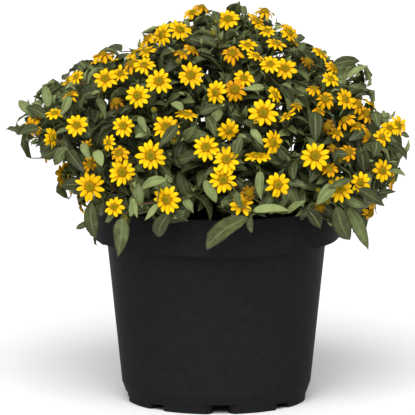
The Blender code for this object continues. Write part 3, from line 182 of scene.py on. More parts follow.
# The outline of the foliage in the photo: the row of its upper and of its lower edge at a column
UPPER_EDGE = [
    (5, 126), (14, 120), (24, 100), (44, 84), (64, 80), (74, 62), (94, 57), (104, 50), (124, 54),
    (144, 31), (164, 26), (184, 16), (194, 8), (204, 7), (214, 11), (239, 2), (254, 8), (274, 21),
    (294, 32), (304, 44), (324, 49), (334, 57), (364, 63), (374, 100), (394, 114), (410, 126),
]
LOWER_EDGE = [
    (5, 131), (16, 134), (34, 149), (46, 160), (58, 168), (64, 188), (76, 205), (90, 237),
    (104, 243), (126, 257), (140, 225), (160, 238), (190, 222), (204, 249), (232, 240),
    (252, 232), (290, 216), (318, 229), (346, 242), (366, 250), (370, 212), (382, 207),
    (394, 194), (400, 178), (410, 140),
]

# The row that the leaves between the flowers keep above, so that the rim and the gaps under the
# plant's sides stay bare
HEM = [
    (5, 131), (16, 134), (26, 137), (34, 148), (46, 158), (57, 165), (72, 161), (80, 170),
    (84, 200), (90, 226), (100, 235), (103, 216), (114, 222), (134, 222), (135, 215), (150, 215),
    (153, 225), (168, 228), (194, 215), (250, 217), (292, 216), (320, 226), (335, 231),
    (346, 239), (366, 247), (370, 212), (382, 205), (394, 192), (400, 176), (410, 138),
]

# Places in the photo where light shows between the leaves: column, row and radius in pixels
LIGHT_GAPS = [
    (105, 102, 3.5), (122, 95, 3), (128, 98, 3), (207, 72, 3.5), (195, 113, 3), (203, 120, 3.5),
    (225, 120, 4), (293, 150, 3.5), (79, 146, 3.5), (112, 187, 3.5), (271, 29, 3.5), (112, 63, 3),
    (100, 63, 3),
]


@dataclass(frozen=True)
class PhotoView:
    """The front view, which looks down a little."""

    tilt: float = math.radians(9.7)
    axis_column: float = 216.3
    ground_row: float = 397.6
    pixel: float = 0.7

    @property
    def up(self) -> Vector:
        """The way that is up in the picture."""
        return Vector((0.0, math.sin(self.tilt), math.cos(self.tilt)))

    @property
    def near(self) -> Vector:
        """The way from the plant to the camera."""
        return Vector((0.0, -math.cos(self.tilt), math.sin(self.tilt)))

    def plane_point(self, column: float, row: float) -> Vector:
        """The point on the plane through the pot's foot that a pixel shows."""
        across, rise = column - self.axis_column, self.ground_row - row
        return (RIGHT * across + self.up * rise) * self.pixel

    def pixels(self, points: Array) -> tuple[Array, Array]:
        """The columns and rows where the view shows points, given one a row."""
        rows = self.ground_row - points @ np.array(self.up) / self.pixel
        return self.axis_column + points[:, 0] / self.pixel, rows

    def faced(self, right: float, up: float) -> Vector:
        """A direction to the camera, by its shares to the right and up in the picture."""
        near = math.sqrt(max(0.0, 1.0 - right ** 2 - up ** 2))
        return (RIGHT * right + self.up * up + self.near * near).normalized()


@dataclass(frozen=True)
class Mound:
    """The rounded form that the ends of the stems reach."""

    middle: tuple[float, float, float] = (-5.0, 0.0, 165.0)
    across: float = 136.0
    deep: float = 120.0
    rise: float = 106.0
    fall: float = 75.0
    skirt: float = 0.78
    march_start: float = 170.0
    march_step: float = 0.5
    march_steps: int = 400

    def excess(self, points: Array) -> Array:
        """How far points lie outside the mound.

        Args:
            points: One place, or places one a row.

        Returns:
            A measure for each, below zero inside the mound.
        """
        x, y, z = (points - np.array(self.middle)).T
        girth = 1.0 - (z / np.where(z < 0.0, self.fall, self.rise)) ** 2
        least = np.where(z < 0.0, self.skirt ** 2, 0.0)
        return (x / self.across) ** 2 + (y / self.deep) ** 2 - np.maximum(girth, least)

    def normal(self, point: Vector) -> Vector:
        """The way that the mound's surface faces near a point.

        Args:
            point: The point.

        Returns:
            The unit direction.
        """
        over = point - Vector(self.middle)
        half = self.fall if over.z < 0.0 else self.rise
        parts = (over.x / self.across ** 2, over.y / self.deep ** 2, over.z / half ** 2)
        return Vector(parts).normalized()

    def meet(self, origin: Vector, direction: Vector) -> Vector:
        """Where a line comes to the mound from outside.

        Args:
            origin: A point of the line.
            direction: The way out of the mound along the line.

        Returns:
            The meeting point, or the line's closest point to the mound.
        """
        steps = self.march_start - self.march_step * np.arange(self.march_steps)
        points = np.array(origin) + np.array(direction) * steps[:, None]
        excess = self.excess(points)
        inside = excess <= 0.0
        return Vector(points[inside.argmax() if inside.any() else excess.argmin()])


@dataclass(frozen=True)
class Habit:
    """How the plant grows: its crown, its stems and how its twigs fork."""

    stems: int = 34
    lowest: float = -0.16
    turn: float = 0.6
    crown: tuple[float, float, float] = (-3.0, 0.0, 138.0)
    crown_radius: float = 58.0
    soil_height: float = 128.5
    foot_depth: float = 11.5
    stem_radius: float = 1.9
    stem_tip_radius: float = 1.3
    straight: float = 3.0
    lean: float = 0.25
    twig_radii: Span = (0.55, 1.05)
    twig_bend: float = 0.6
    sides: int = 3
    stem_node: int = 4
    stem_corners: int = 6
    node_shares: Span = (0.5, 0.75)
    node_length: float = 2.4
    fork_shares: Span = (0.3, 0.62)
    fork_strays: Floats = (0.0, 0.12, -0.12, 0.24)
    fork_flow: float = 0.4
    slacks: Floats = (0.33, 0.22, 0.45)
    face_pull: float = 0.75
    straight_from: float = 0.6
    shifts: Floats = (0.0, -3.0, 3.0, -6.0, 6.0, -9.0, 9.0, -13.0, 13.0, -17.0, 17.0)

    # Heads
    calyx: float = 2.4
    ray_bluntness: float = 0.42
    fresh_droop: float = 0.06
    old_droop: float = 0.34
    six_rays_from: float = 18.0
    bud_belly: float = 0.72
    bud_height: float = 0.9

    # Heads and leaves that a rule spreads over the sides and the back
    back_heads: int = 100
    back_head_band: Span = (0.98, -0.18)
    back_diameters: Floats = (12.5, 14.5, 16.5, 18.0, 19.5, 21.0)
    back_ages: tuple[Age, ...] = (FRESH, FRESH, FRESH, OLD)
    back_tilts: tuple[Span, ...] = ((-0.5, 0.5), (-0.5, 0.5), (-0.1, 0.5))
    back_spacing: float = 20.5
    back_sink: float = 6.0
    back_margin: float = 0.4
    draw_step: float = 2.0
    draw_steps: int = 20
    pot_reach: float = 85.6
    back_from: float = -4.0
    back_leaves: int = 64
    back_leaf_band: Span = (0.95, -0.25)
    back_leaf_start: float = 1.1
    back_leaf_lengths: Span = (0.9, 1.3)
    back_leaf_widths: Span = (0.8, 1.2)
    back_leaf_leans: tuple[Span, ...] = ((-1.0, 1.0), (-1.0, 1.0), (-0.9, 0.6))
    back_leaf_depths: Floats = (4.0, 8.0, 1.0, 12.0, 16.0)
    back_leaf_turns: int = 6
    back_leaves_from: float = 18.0
    back_paleness: float = 0.4

    # Leaves; the edge is where a packed blade has the corner that tells its place
    leaf_length: float = 22.0
    leaf_width: float = 10.5
    leaf_arch: float = 0.09
    leaf_depth: float = 0.6
    leaf_slopes: Floats = (0.0, -4.0, 4.0, -8.0, 8.0)
    root_sink: float = 1.0
    light_lift: float = 0.35
    edge_share: float = 0.7
    edge_rise: float = 0.84
    edge_reach: float = 0.4
    stalk_from: float = 0.3
    stalk_step: float = 0.05
    stalk_steps: int = 13
    stalk_stops: Floats = (0.0, 0.3, 0.6, 1.0)
    stalk_radii: Floats = (0.9, 0.8, 0.75)
    pair_lengths: Span = (0.82, 1.18)
    pair_widths: Span = (0.85, 1.12)
    pair_forwards: Span = (20.0, 50.0)
    pair_turn: float = math.radians(30.0)
    pair_leans: Floats = (0.0, 14.0, -14.0)
    pair_scales: Span = (1.0, 0.82)
    pair_every: int = 3


VIEW = PhotoView()
MOUND = Mound()
HABIT = Habit()
CROWN = Vector(HABIT.crown)


@dataclass
class Leaf:
    """A blade from its root to its tip.

    paleness runs from 0, an old dark leaf, to 1, a young pale one.
    """

    root: Vector
    tip: Vector
    light: Vector
    width: float
    arch: float
    paleness: float = 0.35
    main: bool = False


@dataclass
class Head:
    """A flower head and the way it faces.

    planned is its place before it gave way along its line. node and fork are where leaves stand
    on its stalk and where the stalk leaves the stem, as shares.
    """

    planned: Vector
    line: Vector
    face: Vector
    diameter: float
    age: Age = FRESH
    place: Vector = field(default_factory=Vector)
    number: int = 0
    owner: int = 0
    turn: float = 0.0
    node: float = 0.0
    fork: float = 0.0

    @property
    def radius(self) -> float:
        """Half the diameter."""
        return 0.5 * self.diameter

    @property
    def out(self) -> Vector:
        """The way from the crown to its planned place."""
        return (self.planned - CROWN).normalized()

    def collar(self) -> Vector:
        """Where the stalk meets the head."""
        return self.place - self.face * HABIT.calyx

    def arrival(self) -> Vector:
        """The direction that the stalk comes to the head in."""
        return (self.face * HABIT.face_pull + self.out).normalized()


@dataclass
class Stalk:
    """A stem, a twig or a leaf's stalk along its path, with what it carries.

    owner is the number of its packed stem and stem that of its direction from the crown.
    """

    owner: int
    path: list[Vector]
    radii: list[float]
    stem: int = 0
    node: int = 0
    head: Optional[Head] = None
    leaves: list[Leaf] = field(default_factory=list)


def golden_ways(count: int, top: float, bottom: float, turn: float) -> list[Vector]:
    """Directions spread evenly over a ball between two heights.

    Args:
        count: How many.
        top: The height of the first, from -1 to 1.
        bottom: The height of the last.
        turn: Where the spiral starts.

    Returns:
        The unit directions.
    """
    ways = []
    for index in range(count):
        height = top - (top - bottom) * (index + 0.5) / count
        spread = math.sqrt(1.0 - height * height)
        angle = GOLDEN_ANGLE * index + turn
        ways.append(Vector((spread * math.cos(angle), spread * math.sin(angle), height)))
    return ways


def seen_inside(points: Sequence, lower: Sequence[tuple[int, int]], room: float = 0.0) -> bool:
    """Whether the front view shows points inside the foliage's outline or hides them by the pot.

    Args:
        points: One place, or places one a row.
        lower: The outline's lower edge.
        room: How far inside it they must lie.

    Returns:
        True if it does so with all of them.
    """
    points = np.atleast_2d(points)
    columns, rows = VIEW.pixels(points)
    margin = room / VIEW.pixel
    level = (columns >= lower[0][0]) & (columns <= lower[-1][0])
    over = rows > np.interp(columns, *zip(*UPPER_EDGE)) + margin
    under = rows < np.interp(columns, *zip(*lower)) - margin
    behind_pot = (points[:, 1] > 0.0) & (np.abs(points[:, 0]) < HABIT.pot_reach)
    return bool((level & over & (under | behind_pot)).all())


def sideways(direction: Vector) -> Vector:
    """A direction square to another, level where it can be."""
    side = UP.cross(direction)
    return (RIGHT.cross(direction) if side.length < NEARLY_ZERO else side).normalized()


def swung(first: Vector, second: Vector, angle: float) -> Vector:
    """The direction at an angle from one towards another that is square to it."""
    return first * math.cos(angle) + second * math.sin(angle)


def leaning(out: Vector, along: Vector, lean: float) -> tuple[Vector, Vector]:
    """The way of a leaf that leans along its stalk from square to it, and of its upper side."""
    return swung(out, along, lean), swung(along, -out, lean)


def drawn(rng: random.Random, spans: Sequence[Span]) -> Vector:
    """A vector with each of its parts drawn from a range of its own."""
    return Vector([rng.uniform(*span) for span in spans])


def carried_rings(
    points: Sequence[Vector], radii: Sequence[float], sides: int,
) -> list[list[Vector]]:
    """Rings carried along a path without twist.

    Args:
        points: The path, one point longer than the radii.
        radii: The radius of each ring.
        sides: How many corners a ring has.

    Returns:
        The corners of each ring.
    """
    rings = []
    u = None
    for index, radius in enumerate(radii):
        along = (points[index + 1] - points[max(0, index - 1)]).normalized()
        u = sideways(along) if u is None else (u - along * u.dot(along)).normalized()
        v = along.cross(u)
        angles = [math.tau * corner / sides for corner in range(sides)]
        rings.append([points[index] + swung(u, v, angle) * radius for angle in angles])
    return rings


def bow_point(bow: Sequence[Vector], t: float) -> Vector:
    """The point at a share of a bow, given by four control points."""
    weights = ((1.0 - t) ** 3, 3.0 * (1.0 - t) ** 2 * t, 3.0 * (1.0 - t) * t * t, t ** 3)
    return sum((point * weight for point, weight in zip(bow, weights)), Vector())


def bow_between(
    start: Vector, leave: Vector, finish: Vector, arrive: Vector, slack: float,
) -> list[Vector]:
    """Four control points of a bow that leaves and arrives in given directions."""
    reach = (finish - start).length * slack
    return [start, start + leave * reach, finish - arrive * reach, finish]


def along_path(points: Sequence[Vector], share: float) -> tuple[Vector, Vector]:
    """Where a path is at a share of its length.

    Args:
        points: The path.
        share: The share.

    Returns:
        The point and the direction.
    """
    lengths = [(points[i + 1] - points[i]).length for i in range(len(points) - 1)]
    wanted = share * sum(lengths)
    direction = Vector()
    for index, length in enumerate(lengths):
        direction = (points[index + 1] - points[index]).normalized()
        if wanted <= length:
            return points[index] + direction * wanted, direction
        wanted -= length
    return points[-1], direction


def smooth_path(points: Sequence[Vector], steps: int) -> list[Vector]:
    """A smooth curve through a path.

    Args:
        points: The path.
        steps: How many points each span gets.

    Returns:
        The curve's points.
    """
    ends = [points[0] * 2.0 - points[1], *points, points[-1] * 2.0 - points[-2]]
    curve = []
    for a, b, c, d in zip(ends, ends[1:], ends[2:], ends[3:]):
        for step in range(steps):
            t = step / steps
            curve.append(0.5 * (
                b * 2.0 + (c - a) * t + (a * 2.0 - b * 5.0 + c * 4.0 - d) * t ** 2
                + (b * 3.0 - a - c * 3.0 + d) * t ** 3
            ))
    curve.append(points[-1])
    return curve


class PackedCorners:
    """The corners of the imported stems, which tell what each stem holds and where."""

    TOLERANCE = 0.02
    PREFIX = "leafy_stem_"

    def __init__(self) -> None:
        """Gather the corners."""
        self.names = sorted(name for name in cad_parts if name.startswith(self.PREFIX))
        places = []
        self.owners: list[int] = []
        for number, name in enumerate(self.names):
            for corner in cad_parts[name].data.vertices:
                places.append(corner.co / METRE)
                self.owners.append(number)
        self.tree = KDTree(len(places))
        for index, place in enumerate(places):
            self.tree.insert(place, index)
        self.tree.balance()

    def owner(self, place: Vector) -> Optional[int]:
        """The number of the stem with a corner at a place, if there is one."""
        _, index, distance = self.tree.find(place)
        return self.owners[index] if distance < self.TOLERANCE else None

    def found(self, places: Iterable[Vector]) -> int:
        """How many of the places have a corner."""
        return sum(self.owner(place) is not None for place in places)

    def best_shown(self, choices: Iterable[Stalk], least: int) -> Optional[Stalk]:
        """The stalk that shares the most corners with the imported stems.

        Args:
            choices: The stalks to compare.
            least: How many corners it must share.

        Returns:
            The stalk, or None.
        """
        best = None
        for stalk in choices:
            rings = carried_rings(stalk.path, stalk.radii, HABIT.sides)
            found = self.found(corner for ring in rings[1:] for corner in ring)
            if found >= least:
                least = found + 1
                best = stalk
        return best


class PackedPlant:
    """The plant as packed: its heads, stems, twigs and leaves, each at its real place."""

    def __init__(self) -> None:
        """Read the whole plant."""
        self.corners = PackedCorners()
        self.ways = golden_ways(HABIT.stems, 1.0, HABIT.lowest, HABIT.turn)
        self.trunks: dict[int, Stalk] = {}
        self.stalks: list[Stalk] = []
        self.read_heads()
        self.read_front_leaves()
        self.read_back_leaves()
        self.read_pairs()

    def planned_heads(self) -> list[Head]:
        """The heads before any of them gives way.

        Returns:
            The heads in their order.
        """
        heads = []
        for column, row, diameter, right, up, *age in FRONT_BLOOMS:
            place = MOUND.meet(VIEW.plane_point(column, row), VIEW.near)
            heads.append(Head(place, VIEW.near, VIEW.faced(right, up), diameter, *age))
        rng = random.Random("heads at the back")
        for out in golden_ways(HABIT.back_heads, *HABIT.back_head_band, 0.0):
            place = MOUND.meet(CROWN, out) - out * rng.uniform(0.0, HABIT.back_sink)
            diameter = rng.choice(HABIT.back_diameters)
            tilt = drawn(rng, HABIT.back_tilts)
            age = rng.choice(HABIT.back_ages)
            if place.y < HABIT.back_from:
                continue
            for _ in range(HABIT.draw_steps):
                if seen_inside(place, LOWER_EDGE, HABIT.back_margin * diameter):
                    break
                place = place - out * HABIT.draw_step
            if all((place - head.planned).length >= HABIT.back_spacing for head in heads):
                face = (MOUND.normal(place) + tilt).normalized()
                heads.append(Head(place, out, face, diameter, age))
        return heads

    def find_head(self, head: Head) -> bool:
        """Move a head to its packed place, told by a corner: its tip, or one end of a ray.

        Args:
            head: The head.

        Returns:
            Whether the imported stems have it.
        """
        mark = head.face * HABIT.bud_height
        if head.age in (FRESH, OLD):
            u = sideways(head.face)
            rays = 6 if head.diameter >= HABIT.six_rays_from else 5
            angle = head.turn + HABIT.ray_bluntness * math.pi / rays
            droop = HABIT.old_droop if head.age is OLD else HABIT.fresh_droop
            mark = swung(u, head.face.cross(u), angle) - head.face * droop
        for shift in HABIT.shifts:
            head.place = head.planned + head.line * shift
            owner = self.corners.owner(head.place + mark * head.radius)
            if owner is not None:
                head.owner = owner
                return True
        log.warning("head %d is in no packed stem", head.number)
        return False

    def read_heads(self) -> None:
        """Find each head, then the stem or the twig that carries it."""
        groups: list[list[Head]] = [[] for _ in self.ways]
        for number, head in enumerate(self.planned_heads()):
            rng = random.Random(f"head {number}")
            head.number = number
            head.turn = rng.uniform(0.0, math.tau)
            head.node = rng.uniform(*HABIT.node_shares)
            head.fork = rng.uniform(*HABIT.fork_shares)
            stem = max(range(len(self.ways)), key=lambda index: head.out.dot(self.ways[index]))
            if self.find_head(head):
                groups[stem].append(head)
        left = []
        for stem, (way, group) in enumerate(zip(self.ways, groups)):
            for head in sorted(group, key=lambda head: -head.out.dot(way)):
                trunk = None
                if stem not in self.trunks:
                    choices = self.trunk_choices(stem, head)
                    trunk = self.corners.best_shown(choices, HABIT.stem_corners)
                if trunk:
                    self.trunks[stem] = trunk
                    self.stalks.append(trunk)
                else:
                    left.append(head)
        for head in left:
            self.stalks.append(self.corners.best_shown(self.twig_choices(head), 0))

    def trunk_choices(self, stem: int, head: Head) -> Iterator[Stalk]:
        """Stems that could end in a head.

        Args:
            stem: The stem's number among the directions.
            head: The head.

        Yields:
            Each stem.
        """
        way = self.ways[stem]
        level = Vector((way.x, way.y, 0.0))
        foot = level * HABIT.crown_radius + UP * HABIT.soil_height
        leave = (UP + level * HABIT.lean).normalized()
        for slack in HABIT.slacks:
            start = foot + UP * HABIT.straight
            bow = bow_between(start, leave, head.collar(), head.arrival(), slack)
            after = head.node + HABIT.node_length / (bow[3] - bow[0]).length
            stops = (0.0, head.node / 3.0, head.node / 1.5, head.node, after, 1.0)
            path = [foot - UP * HABIT.foot_depth] + [bow_point(bow, stop) for stop in stops]
            slimming = HABIT.stem_tip_radius - HABIT.stem_radius
            radii = [HABIT.stem_radius + slimming * stop for stop in (0.0, *stops[:-1])]
            yield Stalk(head.owner, path, radii, stem, HABIT.stem_node, head)

    def twig_choices(self, head: Head) -> Iterator[Stalk]:
        """Twigs that could end in a head, from the nearest stems of its node.

        Args:
            head: The head.

        Yields:
            Each twig.
        """
        out = (head.place - CROWN).normalized()
        near = [stem for stem in self.trunks if self.trunks[stem].owner == head.owner]
        finish, arrive = head.collar(), head.arrival()
        for stem in sorted(near, key=lambda stem: -out.dot(self.ways[stem])):
            for stray in HABIT.fork_strays:
                start, along = along_path(self.trunks[stem].path, head.fork + stray)
                leave = (along * HABIT.fork_flow + (finish - start).normalized()).normalized()
                for slack in HABIT.slacks:
                    bow = bow_between(start, leave, finish, arrive, slack)
                    yield self.twig_along(bow, stem, head)

    def twig_along(self, bow: Sequence[Vector], stem: int, head: Head) -> Stalk:
        """A twig along a bow; every third one has a node for a pair of leaves.

        Args:
            bow: The control points.
            stem: The number of its stem among the directions.
            head: The head at its end.

        Returns:
            The twig.
        """
        stops, radii, node = (0.0, HABIT.twig_bend, 1.0), list(HABIT.twig_radii), 0
        if head.number % HABIT.pair_every == 0:
            after = head.node + HABIT.node_length / (bow[3] - bow[0]).length
            stops, radii, node = (0.0, head.node, after, 1.0), [*radii, radii[-1]], 1
        elif (bow[3] - bow[0]).normalized().dot(head.face) > HABIT.straight_from:
            stops, radii = (0.0, 1.0), radii[:1]
        path = [bow_point(bow, stop) for stop in stops]
        return Stalk(head.owner, path, radii, stem, node, head)

    def read_front_leaves(self) -> None:
        """Find the leaves that stand out in the front view, and give each its stalk."""
        near = VIEW.near
        light = (near + UP * HABIT.light_lift).normalized()
        steps = [(shift, slope) for shift in HABIT.shifts for slope in HABIT.leaf_slopes]
        for number, (*ends, width, arch, lift, paleness) in enumerate(FRONT_LEAVES):
            root = MOUND.meet(VIEW.plane_point(*ends[:2]), near)
            way = MOUND.meet(VIEW.plane_point(*ends[2:]), near) - root
            deep = way.dot(near)
            flat = way - near * deep
            most = flat.length * HABIT.leaf_depth
            tip = root + flat + near * max(-most, min(most, deep))
            self.find_leaf(f"front leaf {number}", (
                Leaf(root + near * (lift + shift - HABIT.root_sink),
                     tip + near * (lift + shift + slope), light, width, arch, paleness, True)
                for shift, slope in steps
            ))

    def read_back_leaves(self) -> None:
        """Find the leaves that a rule spreads over the sides and the back, each with its stalk."""
        rng = random.Random("leaves at the back")
        turns = [math.tau * turn / HABIT.back_leaf_turns for turn in range(HABIT.back_leaf_turns)]
        ways = golden_ways(HABIT.back_leaves, *HABIT.back_leaf_band, HABIT.back_leaf_start)
        for number, out in enumerate(ways):
            place = MOUND.meet(CROWN, out)
            length = HABIT.leaf_length * rng.uniform(*HABIT.back_leaf_lengths)
            width = HABIT.leaf_width * rng.uniform(*HABIT.back_leaf_widths)
            lean = drawn(rng, HABIT.back_leaf_leans)
            if place.y < HABIT.back_leaves_from:
                continue
            light = (MOUND.normal(place) + UP * HABIT.light_lift).normalized()
            u = (lean - light * lean.dot(light)).normalized()
            v = light.cross(u)
            choices = []
            for depth in HABIT.back_leaf_depths:
                for angle in turns:
                    way = (swung(u, v, angle) + out * HABIT.light_lift).normalized()
                    root = place - out * depth
                    choices.append(Leaf(root, root + way * length, light, width,
                                        HABIT.leaf_arch * length, HABIT.back_paleness, True))
            self.find_leaf(f"back leaf {number}", choices)

    def find_leaf(self, label: str, choices: Iterable[Leaf]) -> None:
        """Keep the choice whose edge has a packed corner, on the nearest twig of its stem.

        Args:
            label: What the leaf is called in the log.
            choices: The places where it can be.
        """
        for leaf in choices:
            way = (leaf.tip - leaf.root).normalized()
            light = (leaf.light - way * leaf.light.dot(way)).normalized()
            rise = light * (HABIT.edge_rise * leaf.arch)
            aside = light.cross(way) * (HABIT.edge_reach * leaf.width)
            owner = self.corners.owner(leaf.root.lerp(leaf.tip, HABIT.edge_share) + rise + aside)
            if owner is None:
                continue
            forks = [along_path(stalk.path, HABIT.stalk_from + HABIT.stalk_step * step)
                     for stalk in self.stalks if stalk.owner == owner and stalk.head
                     for step in range(HABIT.stalk_steps)]
            if not forks:
                break
            start, along = min(forks, key=lambda fork: (fork[0] - leaf.root).length)
            leave = (along * HABIT.fork_flow + (leaf.root - start).normalized()).normalized()
            bow = bow_between(start, leave, leaf.root, way, HABIT.slacks[0])
            if not seen_inside(bow_point(bow, HABIT.stalk_stops[-2]), LOWER_EDGE):
                bow = bow_between(start, way, leaf.root, way, 0.0)
            path = [bow_point(bow, stop) for stop in HABIT.stalk_stops]
            self.stalks.append(Stalk(owner, path, list(HABIT.stalk_radii), leaves=[leaf]))
            return
        log.warning("%s is in no packed stem", label)

    def read_pairs(self) -> None:
        """Find the pairs of opposite leaves on the stems and twigs that have a node for them."""
        for stem in range(len(self.ways)):
            stalks = [stalk for stalk in self.stalks if stalk.head and stalk.stem == stem]
            for number, stalk in enumerate(stalks):
                if stalk.node:
                    stalk.leaves.extend(self.pair_on(stalk, random.Random(f"pair {stem} {number}")))

    def pair_on(self, stalk: Stalk, rng: random.Random) -> list[Leaf]:
        """The pair of opposite leaves on a stalk's node, if it is packed.

        Args:
            stalk: The stem or twig.
            rng: The pair's draws.

        Returns:
            The two leaves, or none.
        """
        low, high = stalk.path[stalk.node:stalk.node + 2]
        root = (low + high) * 0.5
        along = (high - low).normalized()
        length = HABIT.leaf_length * rng.uniform(*HABIT.pair_lengths)
        width = HABIT.leaf_width * rng.uniform(*HABIT.pair_widths)
        forward = math.radians(rng.uniform(*HABIT.pair_forwards))
        arch = HABIT.leaf_arch * length
        ring = carried_rings(stalk.path, stalk.radii, HABIT.sides)[stalk.node]
        for scale in HABIT.pair_scales:
            for lean in HABIT.pair_leans:
                for corner in ring:
                    across = (corner - low).normalized()
                    turn = HABIT.pair_turn + math.radians(lean)
                    out = swung(across, along.cross(across), turn)
                    pair = []
                    for side in (out, -out):
                        way, light = leaning(side, along, forward)
                        tip = root + way * length * scale
                        pair.append(Leaf(root, tip, light, width * scale, arch, main=True))
                    if self.corners.found([leaf.tip for leaf in pair]) == 2:
                        return pair
        return []


class FrontOutlook:
    """What the front view shows, so that the foliage hides no bloom and keeps its outline."""

    FACING = -0.2
    LONG = 0.95
    FLATTEST = 0.4
    BEHIND = -1.0
    TINY = 1e-6

    def __init__(self, heads: Sequence[Head]) -> None:
        """Note where the front view shows each head.

        Args:
            heads: The heads at their places.
        """
        self.basis = np.array([RIGHT, VIEW.up, VIEW.near]).T
        self.places = np.array([head.place for head in heads]) @ self.basis
        faces = np.array([head.face for head in heads]) @ self.basis
        radii = np.array([head.radius for head in heads])
        self.seen = faces[:, 2] > self.FACING
        ways = faces[:, :2] + self.TINY
        self.ways = ways / np.linalg.norm(ways, axis=1)[:, None]
        self.long = radii * self.LONG
        self.short = radii * np.maximum(np.abs(faces[:, 2]), self.FLATTEST)

    def hides_bloom(self, points: Array) -> bool:
        """Whether any of the points lies in front of a bloom.

        Args:
            points: The points.

        Returns:
            True if one does.
        """
        across, up, near = np.moveaxis((points @ self.basis)[:, None] - self.places, 2, 0)
        shorter = across * self.ways[:, 0] + up * self.ways[:, 1]
        longer = across * self.ways[:, 1] - up * self.ways[:, 0]
        inside = (shorter / self.short) ** 2 + (longer / self.long) ** 2 < 1.0
        return bool((inside & (near > self.BEHIND) & self.seen).any())

    def keeps_outline(self, points: Array) -> bool:
        """Whether all of the points lie inside the outline and off the light gaps.

        Args:
            points: The points.

        Returns:
            True if they do.
        """
        columns, rows = VIEW.pixels(points)
        lit = any((np.hypot(columns - column, rows - row) < radius).any()
                  for column, row, radius in LIGHT_GAPS)
        return not lit and seen_inside(points, HEM)


class Room:
    """The space that blades and heads take, in small cells."""

    CELL = 1.9
    STEPS = ((0, 0, 0), (1, 0, 0), (-1, 0, 0), (0, 1, 0), (0, -1, 0), (0, 0, 1), (0, 0, -1))

    def __init__(self) -> None:
        """Start with all the space free."""
        self.taken: set[tuple[int, int, int]] = set()

    def cells(self, points: Array) -> list[tuple[int, int, int]]:
        """The cells that points lie in."""
        return [tuple(cell) for cell in np.floor(points / self.CELL).astype(int).tolist()]

    def is_free(self, points: Array) -> bool:
        """Whether neither the points' cells nor the cells beside them are taken."""
        return not any((x + i, y + j, z + k) in self.taken
                       for x, y, z in self.cells(points) for i, j, k in self.STEPS)

    def take(self, points: Array) -> None:
        """Take the cells that points lie in."""
        self.taken.update(self.cells(points))


# Where a leaf takes room: shares of its length with its width there, and shares across it
LEAF_SAMPLES = ((0.3, 0.8), (0.45, 0.95), (0.6, 0.95), (0.75, 0.8), (0.9, 0.5), (1.0, 0.1))
ACROSS_SAMPLES = (-0.4, 0.0, 0.4)

# Where a head does: shares of its radius, and how many places round it
HEAD_SAMPLES = (0.35, 0.65, 0.95)
ROUND_SAMPLES = 10


def leaf_samples(leaf: Leaf) -> Array:
    """Points over a leaf, away from its root.

    Args:
        leaf: The leaf.

    Returns:
        The points, one a row.
    """
    along = (leaf.tip - leaf.root).normalized()
    light = (leaf.light - along * leaf.light.dot(along)).normalized()
    side = along.cross(light)
    points = []
    for share, wide in LEAF_SAMPLES:
        rise = 4.0 * share * (1.0 - share) * leaf.arch
        middle = leaf.root.lerp(leaf.tip, share) + light * rise
        points += [middle + side * (leaf.width * wide * step) for step in ACROSS_SAMPLES]
    return np.array(points)


def head_samples(head: Head) -> Array:
    """Points over a head's face.

    Args:
        head: The head.

    Returns:
        The points, one a row.
    """
    u = sideways(head.face)
    v = head.face.cross(u)
    turns = [math.tau * step / ROUND_SAMPLES for step in range(ROUND_SAMPLES)]
    return np.array([head.place] + [head.place + swung(u, v, turn) * head.radius * reach
                                    for reach in HEAD_SAMPLES for turn in turns])


